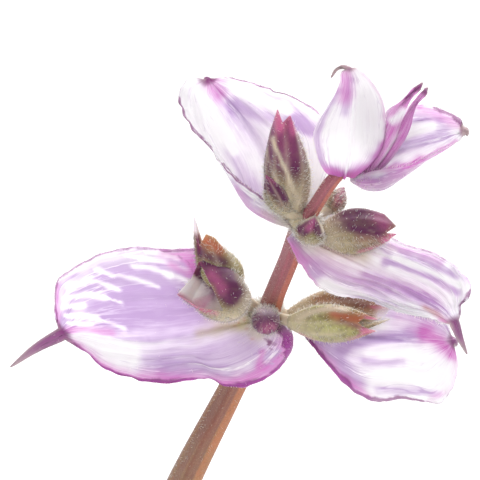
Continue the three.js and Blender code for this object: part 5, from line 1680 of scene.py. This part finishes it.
def pot_profile():
    """Radius and height down the pot's section: out along the foot, up the tapered wall to the collar, round
    the rim and down inside. The outer wall carries faint turning lines."""
    z = np.linspace(1.8, WAIST, 60)
    wall = np.stack([44 + 14 * (z - 1.8) / (WAIST - 1.8) + 0.1 * np.sin(z * 1.9) * np.sin(z * 0.21), z], -1)
    z = np.linspace(87.0, RIM_HEIGHT - 2.2, 14)
    collar = np.stack([63.2 + 1.7 * (z - 87) / 20.8 + 0.06 * np.sin(z * 2.3), z], -1)
    turn = np.linspace(0, np.pi, 13)
    rim = np.stack([62.2 + 2.75 * np.cos(turn), RIM_HEIGHT - 2.0 + 2.0 * np.sin(turn)], -1)
    return np.vstack([POT_FOOT, wall, POT_SHOULDER, collar, rim, POT_INSIDE])


SOIL_LEVEL = 98.5
SOIL_WALL = [(38.2, 7.4), (52.0, 83.6), (58.0, 87.8), (58.3, 95)]
SOIL_RADII = np.linspace(58.3, 0.6, 46)
CRUMB_REACH = 56.5


def soil_places(reach, turn, lift=0.0):
    """Places on the soil's top, raised by a lift: its level plus crossed sines, coarse and fine."""
    x, y = reach * np.cos(turn), reach * np.sin(turn)
    coarse = np.sin(0.21 * x + 1.1) * np.cos(0.17 * y) + 0.6 * np.sin(0.43 * y + 0.31 * x)
    fine = 0.35 * np.sin(1.1 * x + 0.7 * y) * np.sin(1.3 * y - 0.4 * x)
    fine = fine + 0.2 * np.sin(2.3 * x) * np.sin(2.1 * y + 1)
    return np.stack([x, y, SOIL_LEVEL + (1.3 * coarse + fine) + lift], -1)


def crumb_shape(rng, spots, sizes):
    """Crumbs: rough balls of three rings of six points, each point pushed in or out at random."""
    count = len(spots)
    rise = np.radians([-45, 0, 45])[:, None]
    turn = np.arange(6) * FULL_TURN / 6
    ball = np.stack([np.cos(rise) * np.cos(turn), np.cos(rise) * np.sin(turn), np.sin(rise) + 0 * turn], -1)
    ball = np.vstack([ball.reshape(-1, 3), [[0, 0, -1], [0, 0, 1]]])
    corners = len(ball)
    spin = rng.random(count)[:, None] * FULL_TURN
    rough = rng.uniform(0.7, 1.15, (count, corners, 1)) * sizes[:, None, None]
    knob = ball[None] * (rough * rng.uniform(0.6, 1, (count, 1, 3)))
    x = knob[..., 0] * np.cos(spin) - knob[..., 1] * np.sin(spin)
    y = knob[..., 0] * np.sin(spin) + knob[..., 1] * np.cos(spin)
    points = np.stack([x, y, knob[..., 2]], -1) + spots[:, None]
    start = (np.arange(count) * corners)[:, None, None]
    faces = [grid_faces(3, 6, wrap=True), end_caps(3, 6)]
    return points.reshape(-1, 3), [(f + start).reshape(-1, f.shape[1]) for f in faces]


# Stem

STEM_SIDES = 32
STEM_ROWS = 260
STEM_HAIRS = 2600
STEM_GLANDS = 320
BRANCH_ROWS = 60
BRANCH_HAIRS = 260
# Ages at the foot and at the end: higher is younger
STEM_AGE = (0.0, 1.4)
BRANCH_AGE = (0.45, 0.8)
# The tip's glands stand on this side of the stem, from this age on
GLAND_SIDE = unit(spray(-0.88, 0.42, 0.3))
GLAND_AGE = 0.65


def square_rings(knots, widths, count):
    """Rings of a square stem. A side's reach is that of a square, one over the cosine of the angle from its
    face, held short at the corners and hollowed a little in the middle of each face."""
    t = np.linspace(0, 1, count)
    stops = np.linspace(0, 1, 2 * (len(knots) - 1) + 1)
    across = np.array([math.cos(STEM_TURN), math.sin(STEM_TURN), 0.0])
    carried = []
    for along in curve_heading(knots, stops):
        across = square_to(across, along)
        carried.append(across)
    along = curve_heading(knots, t)
    across = square_to(np.stack([np.interp(t, stops, one) for one in np.transpose(carried)], -1), along)
    other = np.cross(along, across)
    width = np.interp(t, np.linspace(0, 1, len(widths)), widths)
    turn = turns(STEM_SIDES)
    off_face = (turn + np.pi / 4) % (np.pi / 2) - np.pi / 4
    reach = 0.93 + 0.33 * ((1 / np.cos(off_face) - 1) / (math.sqrt(2) - 1)) ** 0.85
    reach = reach[None] * width[:, None] / 2
    rings = curve_points(knots, t)[:, None] + across[:, None] * (reach * np.cos(turn))[..., None]
    return t, turn, rings + other[:, None] * (reach * np.sin(turn))[..., None]


def add_stem(shape, hairs, rng, knots, widths, rows, hair_count, age, glands=0):
    """Adds a square stem with its attributes: the way along it, the way round it and its age, its hairs, and
    glands on short stalks down its left edge."""
    t, turn, rings = square_rings(knots, widths, rows)
    length = np.sum(np.linalg.norm(np.diff(rings.mean(axis=1), axis=0), axis=1))
    years = np.interp(t, (0, 1), age)[:, None]
    data = np.broadcast_arrays((t * length)[:, None], turn / FULL_TURN, years)
    shape.add_tube(rings, stem=np.stack(data, -1))
    skin = wrapped(rings)
    normals = unit(skin - skin.mean(axis=1, keepdims=True))
    grow_hairs(hairs, rng, skin, normals, hair_count, STEM_DOWN)
    if glands:
        edge = smooth((normals @ GLAND_SIDE - 0.8) / 0.15) * (years > GLAND_AGE)
        grow_hairs(hairs, rng, skin, normals, glands, STEM_GLAND, edge)


def join_hairs(name, made, slot):
    """All the hairs of a group as one piece."""
    shape = Shape()
    for body, data in made:
        shape.add(body, hair=data)
    return place(shape.object(name), finished("glandular hair"), slot)


# Settings


def tone(red, green, blue):
    """A linear colour from the 0 to 255 values that a screen shows."""
    shares = (c / 255 for c in (red, green, blue))
    return tuple(((c + 0.055) / 1.055) ** 2.4 if c > 0.04 else c / 12.92 for c in shares)


def colour(name, description, red, green, blue):
    """A colour setting."""
    default = tone(red, green, blue)
    return bpy.props.FloatVectorProperty(
        name=name, description=description, default=default, subtype="COLOR", size=3, min=0, max=1
    )


def length(name, description, default):
    """A length setting, in metres."""
    return bpy.props.FloatProperty(
        name=name, description=description, default=default, unit="LENGTH", precision=4
    )


def amount(name, description, default):
    """A plain number setting."""
    return bpy.props.FloatProperty(name=name, description=description, default=default)


class SagePaperySettings(bpy.types.PropertyGroup):
    # White is the bract's own colour and also the painted highlight of sunlit folds; lavender is its own tint
    # and also the painted shade of its folds
    white: colour("White and sunlit folds", "Colour of a papery bract where it is thinnest", 247, 240, 250)
    lavender: colour("Lavender and shaded folds", "Colour of a papery bract in its shaded folds", 160, 137, 176)
    tan: colour("Dried spots", "Tan of dried spots", 168, 112, 84)
    foot: colour("Foot", "Green of a bract at its foot", 192, 186, 140)
    flush: colour("Flush", "Magenta flush towards the tip and margin", 178, 78, 160)
    margin: colour("Margin", "Purple of the margin", 96, 14, 84)
    cusp: colour("Cusp", "Plum of the drawn-out tip", 134, 40, 118)
    point: colour("Point", "Fawn of the tip's edges and end", 186, 160, 164)
    glow: amount("Glow", "Share of light that passes into the blade", 1.0)
    glow_depth: length("Glow depth", "How far light runs inside a papery blade", 0.0009)


class SageCalyxSettings(bpy.types.PropertyGroup):
    olive: colour("Olive", "Darker green of a calyx", 108, 98, 56)
    green: colour("Green", "Lighter green of a calyx", 174, 172, 104)
    tawny: colour("Tawny", "Orange brown of a sunlit lip", 176, 96, 66)
    purple: colour("Purple", "Purple of the lips and teeth", 90, 22, 72)
    pale: colour("Ribs", "Pale ribs", 206, 192, 168)
    dusk: colour("Dusk", "Grey brown of a shaded or purple-veined calyx", 156, 126, 118)
    pink: colour("Pink teeth", "Magenta pink of teeth and lip edges", 202, 100, 152)
    clear: colour("Clear teeth", "Papery pale tips", 240, 222, 234)
    inside: colour("Inside", "Inside of a calyx", 250, 242, 240)


class SageHairSettings(bpy.types.PropertyGroup):
    hair: colour("Hair", "Clear hair", 250, 244, 226)
    bead: colour("Bead", "Bead of oil at a hair's tip", 232, 204, 150)
    stain: colour("Stained hair", "Hair with purple cells", 158, 110, 150)


class SageStemSettings(bpy.types.PropertyGroup):
    mauve: colour("Mauve", "Broad shaded faces near the tip", 170, 96, 108)
    salmon: colour("Salmon", "Sunny faces near the tip", 204, 120, 104)
    gold: colour("Gold", "Lengthwise stripes below the tip", 180, 132, 76)
    russet: colour("Russet", "Broad shaded faces below the tip", 144, 88, 70)
    sunny: colour("Sunny", "Sunlit faces", 196, 122, 76)
    green: colour("Lower stem", "Green of the older stem", 134, 140, 92)
    dark: colour("Streaks", "Fine dark streaks", 104, 58, 66)
    hair: colour("Specks", "Pale specks of down", 226, 196, 176)


class SageLeafSettings(bpy.types.PropertyGroup):
    dark: colour("Dark", "Shaded green", 50, 76, 34)
    light: colour("Light", "Lit green", 92, 120, 54)
    vein: colour("Veins", "Pale veins", 160, 172, 124)
    felt: colour("Felt", "Grey felt", 140, 160, 112)
    under: colour("Underside", "Paler underside", 152, 166, 128)


class SagePotSettings(bpy.types.PropertyGroup):
    fired: colour("Fired clay", "Deeper fired colour", 170, 92, 58)
    warm: colour("Warm clay", "Paler fired colour", 198, 122, 84)
    pore: colour("Pores", "Pores and soot", 118, 66, 46)
    lime: colour("Lime bloom", "White bloom of lime", 214, 190, 170)
    drain_radius: length("Drain hole", "Radius of a drain hole", 0.005)


class SageSoilSettings(bpy.types.PropertyGroup):
    dark: colour("Dark crumb", "Moist soil", 44, 30, 22)
    light: colour("Light crumb", "Drier soil", 112, 84, 62)
    grit: colour("Grit", "Pale grit", 176, 160, 138)
    crumbs: bpy.props.IntProperty(name="Crumbs", description="Loose crumbs on the soil", default=600)


class SageStageSettings(bpy.types.PropertyGroup):
    frame_width: length("Frame width", "Width of the view at the spike's tip", 0.0552)
    key: amount("Key light", "Power of the main light", 3.2)
    fill: amount("Fill light", "Power of the soft light in front", 1.2)
    bounce: amount("Bounce light", "Power of the soft light below", 0.4)
    wash: amount("Floor light", "Power of the light on the floor", 11.0)
    lift: amount("Floor glow", "Evens out the floor far away", 0.3)
    sky: amount("Upper surround", "Brightness overhead", 0.5)
    horizon: amount("Lower surround", "Brightness at the horizon", 1.05)


# Operators


class SageOperator:
    """What every step shares."""

    bl_options = {"REGISTER", "UNDO"}

    def execute(self, context):
        self.build(context.scene)
        return {"FINISHED"}


class SAGE_OT_pot(SageOperator, bpy.types.Operator):
    """Turn the clay pot, with its collar, rounded rim and drain holes"""

    bl_idname = "sage.pot"
    bl_label = "Pot"

    def build(self, scene):
        pot = make_object("clay_pot", *tube_shape(turned(pot_profile(), turns(POT_SIDES))))
        size = scene.sage_pot.drain_radius / MM
        bit = turned([(size, z) for z in DRAIN_DEPTH], turns(DRAIN_SIDES) + DRAIN_TWIST)
        drills = Shape()
        for angle in np.radians(DRAIN_HOLES):
            drills.add_tube(bit + DRAIN_CIRCLE * level(angle))
        drill = drills.object("drill")
        cut = pot.modifiers.new("drain holes", "BOOLEAN")
        cut.object = drill
        cut.operation = "DIFFERENCE"
        cut.solver = "EXACT"
        ready = pot.evaluated_get(bpy.context.evaluated_depsgraph_get())
        mesh = bpy.data.meshes.new_from_object(ready)
        pot.modifiers.clear()
        pot.data = mesh
        bpy.data.objects.remove(drill)
        mesh.shade_smooth()
        mesh.materials.clear()
        place(pot, finished("fired clay"), "clay", "pot")


class SAGE_OT_soil(SageOperator, bpy.types.Operator):
    """Fill the pot with lumpy soil and strew it with crumbs"""

    bl_idname = "sage.soil"
    bl_label = "Soil"

    def build(self, scene):
        rng = np.random.default_rng(5)
        turn = turns(POT_SIDES)
        rings = np.concatenate([turned(SOIL_WALL, turn), soil_places(SOIL_RADII[:, None], turn)])
        place(Shape().add_tube(rings).object("soil_fill"), finished("potting soil"), "soil", "soil")
        count = scene.sage_soil.crumbs
        reach = CRUMB_REACH * np.sqrt(rng.uniform(0.006, 1, count))
        angle = rng.uniform(0, FULL_TURN, count)
        sizes = rng.uniform(0.4, 1.5, count) ** 1.3
        crumbs = Shape().add(crumb_shape(rng, soil_places(reach, angle, 0.25 * sizes), sizes))
        place(crumbs.object("soil_crumbs"), finished("potting soil"), "soil")


class SAGE_OT_stem(SageOperator, bpy.types.Operator):
    """Grow the square, grooved stem and its side branches, with short hairs"""

    bl_idname = "sage.stem"
    bl_label = "Stem"

    def build(self, scene):
        rng = np.random.default_rng(7)
        shape, hairs = Shape(), []
        add_stem(shape, hairs, rng, MAIN, MAIN_WIDTHS, STEM_ROWS, STEM_HAIRS, STEM_AGE, STEM_GLANDS)
        for *line, _ in BRANCHES:
            add_stem(shape, hairs, rng, *branch_line(*line), BRANCH_ROWS, BRANCH_HAIRS, BRANCH_AGE)
        place(shape.object("square_stem"), finished("stem skin"), "stem", "stem")
        join_hairs("stem_hairs", hairs, "stem")


class SAGE_OT_leaves(SageOperator, bpy.types.Operator):
    """Grow the basal leaves and the leaves on the stem"""

    bl_idname = "sage.leaves"
    bl_label = "Leaves"

    def build(self, scene):
        for name, *sizes in LEAVES:
            shape = add_leaf(Shape(), leaf_spec(*sizes))
            place(shape.object(f"sage_{name}"), finished("felted leaf"), "leaf", name)


class SAGE_OT_tip_bracts(SageOperator, bpy.types.Operator):
    """Grow the six papery bracts of the photographed tip and the hairs on their margins"""

    bl_idname = "sage.tip_bracts"
    bl_label = "Bracts of the tip"

    def build(self, scene):
        hairs = []
        for name, sizes in TIP_BRACTS.items():
            rng = np.random.default_rng(sizes["seed"])
            shape = Shape()
            u, upper, under, normal = add_bract(shape, {**STRETCHED, **sizes}, *BRACT_GRID)
            place(shape.object(f"papery_{name}"), finished("papery blade"), "papery_bract", name)
            roots = margin_roots(rng, (upper + under) / 2, MARGIN_HAIRS)
            hairs.append(hair_shape(rng, *roots, *MARGIN_HAIR))
            grow_hairs(hairs, rng, upper, normal, FOOT_HAIRS, FOOT_HAIR, bell(u, 0.06, 0.09) + 0.02)
        join_hairs("margin_hairs", hairs, "papery_bract")


class SAGE_OT_tip_calyces(SageOperator, bpy.types.Operator):
    """Grow the calyces and buds of the two whorls of the photographed tip"""

    bl_idname = "sage.tip_calyces"
    bl_label = "Calyces of the tip"

    def build(self, scene):
        rng = np.random.default_rng(17)
        for name, node, centre, radius, height, cups in TIP_WHORLS:
            shape, hairs = Shape(), []
            skin, away = add_node(shape, centre, station(node)[1], radius, height)
            side_on = 1 - 0.95 * np.clip(away @ OUT, 0, 1) ** 0.5
            grow_hairs(hairs, rng, skin, away, NODE_HAIRS, NODE_WOOL, side_on)
            for cup in cups:
                add_cup(shape, hairs, cup, centre)
            place(shape.object(f"green_{name}"), finished("hairy calyx"), "calyx", name)
            join_hairs(f"hairs_{name}", hairs, "calyx")


class SAGE_OT_tip_bractlets(SageOperator, bpy.types.Operator):
    """Grow the two folded bractlets and the youngest bud at the very tip"""

    bl_idname = "sage.tip_bractlets"
    bl_label = "Folded bractlets"

    def build(self, scene):
        shape = Shape()
        for sizes in TIP_BRACTLETS.values():
            add_bract(shape, {**STRETCHED, **sizes}, *BRACTLET_GRID)
        place(shape.object("folded_bractlets"), finished("papery blade"), "young_bract", "bractlets_tip")
        bud, hairs = Shape(), []
        add_calyx(bud, hairs, TIP_BUD, *BUD_GRID)
        place(bud.object("tip_bud"), finished("hairy calyx"), "young_bract")
        join_hairs("hairs_tip_bud", hairs, "young_bract")


class SAGE_OT_lower_whorls(SageOperator, bpy.types.Operator):
    """Grow the bracts under the side branches, and the bracts and calyces of the two plain whorls"""

    bl_idname = "sage.lower_whorls"
    bl_label = "Lower whorls"

    def build(self, scene):
        for k, (name, slot, node, *sizes) in enumerate(LOWER_BRACTS):
            at, along = station(node)
            shape = Shape()
            s = plain_bract(at - 2.5 * along, STATIONS[node][1] * 0.45, *sizes, 200 + k)
            add_bract(shape, s, *LOWER_BRACT_GRID)
            place(shape.object(f"papery_{name}"), finished("papery blade"), slot, name)
        for name, node, radius, size in LOWER_CALYCES:
            at, along = station(node)
            shape, hairs = Shape(), []
            joint = (at + 1.6 * along, along, radius, 2.0)
            add_whorl(shape, hairs, *joint, 35, size, 130, 300, LOWER_CALYX_GRID)
            place(shape.object(f"green_{name}"), finished("hairy calyx"), "calyx", name)
            join_hairs(f"hairs_{name}", hairs, "calyx")


class SAGE_OT_branches(SageOperator, bpy.types.Operator):
    """Grow the whorls and the closed tops of the side branches"""

    bl_idname = "sage.branches"
    bl_label = "Side branches"

    def build(self, scene):
        hairs = []
        for n, (*line, whorls) in enumerate(BRANCHES):
            knots, _ = branch_line(*line)
            _, heading, _, ends, _ = line
            for k, share in enumerate(whorls):
                centre, along = self.spot(knots, share)
                width = np.interp(share, (0, 1), ends)
                name = f"branch{n + 1}_whorl{k + 1}"
                turn = heading + 90 * (k + 1)
                shape, pair = Shape(), Shape()
                joint = (centre + 1.8 * along, along, 0.7 * width + 1, 1.8)
                add_whorl(shape, hairs, *joint, turn + 45, 7, 60, 400 + 10 * n + k, BRANCH_CALYX_GRID)
                green = shape.object(f"green_calyces_{name}")
                place(green, finished("hairy calyx"), "calyx", f"calyces_{name}")
                for flip in (0, 180):
                    sizes = (turn + flip, 2, 19 - 2 * k, 15 - 2 * k, LILAC_PATCHES, 500 + n + flip)
                    s = plain_bract(centre - 2.8 * along, 0.6 * width, *sizes)
                    add_bract(pair, {**s, "bend": -18}, *BRANCH_BRACT_GRID)
                papery = pair.object(f"papery_bracts_{name}")
                place(papery, finished("papery blade"), "papery_bract", f"bracts_{name}")
            end, along = self.spot(knots, 1.0)
            self.add_top(f"top_branch{n + 1}", end + 1.02 * along, along, heading + 90, 600 + n)
        join_hairs("hairs_branches", hairs, "calyx")

    @staticmethod
    def spot(knots, share):
        """A place on a branch and the branch's heading there."""
        t = np.array([share])
        return curve_points(knots, t)[0], curve_heading(knots, t)[0]

    @staticmethod
    def add_top(name, foot, along, heading, seed):
        """Two cupped bracts on a branch's last joint, wrapped round the youngest buds."""
        shape = Shape()
        for turn in (0, 180):
            out = direction(heading + turn, 0)
            s = {
                **TOP_BRACT, "base": foot + 0.7 * out, "aim": unit(along + 0.62 * out), "face": -out,
                "patches": LILAC_PATCHES, "seed": seed + turn,
            }
            add_bract(shape, s, *BRANCH_BRACT_GRID)
        place(shape.object(f"papery_{name}"), finished("papery blade"), "papery_bract", name)


FLOOR_HALF = 9000.0
VIEW_MIDDLE = on_spray(EYE_RIGHT, EYE_UP, 0)
SENSOR = 36.0
# Soft lights: name, place, target and width in metres
LAMPS = [
    ("key", VIEW_MIDDLE + spray(260, 560, -330), VIEW_MIDDLE, 0.22),
    ("fill", VIEW_MIDDLE + spray(-200, 260, 560), VIEW_MIDDLE, 0.3),
    ("bounce", VIEW_MIDDLE + spray(120, -420, 380), VIEW_MIDDLE, 0.3),
    ("wash", np.array([100.0, 900.0, 1500.0]), np.array([0.0, 750.0, 0.0]), 1.0),
]


class SAGE_OT_stage(SageOperator, bpy.types.Operator):
    """Set the pale floor, the soft lights and the camera"""

    bl_idname = "sage.stage"
    bl_label = "Stage"

    def build(self, scene):
        stage = scene.sage_stage
        corners = FLOOR_HALF * np.array([[-1, -1, 0], [1, -1, 0], [1, 1, 0], [-1, 1, 0]])
        floor = make_object("floor", corners, [np.array([[0, 1, 2, 3]])])
        finish = Finish(bpy.data.materials.new("pale floor"))
        shade = finish.mix(finish.noise(finish.place(), 0.004), tone(236, 235, 236), tone(244, 243, 244))
        floor.data.materials.append(finish.done(finish.skin(
            Base_Color=shade, Roughness=0.9, Emission_Color=shade, Emission_Strength=stage.lift,
        )))
        lens = bpy.data.cameras.new("camera")
        lens.sensor_width = SENSOR
        lens.lens = SENSOR * EYE_OUT * MM / stage.frame_width
        lens.clip_start = 0.01
        lens.clip_end = 50
        camera = bpy.data.objects.new("camera", lens)
        camera.location = (VIEW_MIDDLE + OUT * EYE_OUT) * MM
        camera.rotation_euler = (math.pi / 2 - SPRAY_TILT, 0, 0)
        scene.collection.objects.link(camera)
        scene.camera = camera
        for name, at, target, size in LAMPS:
            self.light(scene, name, at, target, size, getattr(stage, name))
        self.surround(scene, stage)
        scene.view_settings.view_transform = "Standard"
        scene.view_settings.look = "None"

    @staticmethod
    def surround(scene, stage):
        """A white surround that is brighter at the horizon than overhead."""
        finish = Finish(bpy.data.worlds.new("surround"))
        height = finish.split(finish.node("ShaderNodeTexCoord", output="Generated"))[2]
        strength = finish.ramp(height, 0.12, 0.45) * (stage.sky - stage.horizon) + stage.horizon
        backdrop = finish.node("ShaderNodeBackground", {}, {"Color": (1, 1, 1), "Strength": strength})
        scene.world = finish.done(backdrop, "ShaderNodeOutputWorld")

    @staticmethod
    def light(scene, name, at, target, size, power):
        """A square soft light that faces a place."""
        lamp = bpy.data.lights.new(name, "AREA")
        lamp.shape = "SQUARE"
        lamp.size = size
        lamp.energy = power
        light = bpy.data.objects.new(name, lamp)
        light.location = at * MM
        light.rotation_euler = Vector((target - at).tolist()).to_track_quat("-Z", "Y").to_euler()
        scene.collection.objects.link(light)


STEPS = (
    SAGE_OT_pot, SAGE_OT_soil, SAGE_OT_stem, SAGE_OT_leaves, SAGE_OT_tip_bracts, SAGE_OT_tip_calyces,
    SAGE_OT_tip_bractlets, SAGE_OT_lower_whorls, SAGE_OT_branches, SAGE_OT_stage,
)
SETTINGS = {
    "sage_papery": SagePaperySettings, "sage_calyx": SageCalyxSettings, "sage_hair": SageHairSettings,
    "sage_stem": SageStemSettings, "sage_leaf": SageLeafSettings, "sage_pot": SagePotSettings,
    "sage_soil": SageSoilSettings, "sage_stage": SageStageSettings,
}


class SAGE_PT_panel(bpy.types.Panel):
    """Lists the steps and their settings"""

    bl_idname = "SAGE_PT_panel"
    bl_label = "Clary sage"
    bl_space_type = "VIEW_3D"
    bl_region_type = "UI"
    bl_category = "Clary sage"

    def draw(self, context):
        for step in STEPS:
            self.layout.operator(step.bl_idname)
        for key, settings in SETTINGS.items():
            box = self.layout.box()
            for prop in settings.__annotations__:
                box.prop(getattr(context.scene, key), prop)


def register():
    for settings in SETTINGS.values():
        bpy.utils.register_class(settings)
    for step in (*STEPS, SAGE_PT_panel):
        bpy.utils.register_class(step)
    for key, settings in SETTINGS.items():
        setattr(bpy.types.Scene, key, bpy.props.PointerProperty(type=settings))


def unregister():
    for key in SETTINGS:
        delattr(bpy.types.Scene, key)
    for step in (SAGE_PT_panel, *reversed(STEPS)):
        bpy.utils.unregister_class(step)
    for settings in reversed(SETTINGS.values()):
        bpy.utils.unregister_class(settings)


def main():
    register()
    for step in STEPS:
        group, name = step.bl_idname.split(".")
        getattr(getattr(bpy.ops, group), name)()


if __name__ == "__main__":
    main()
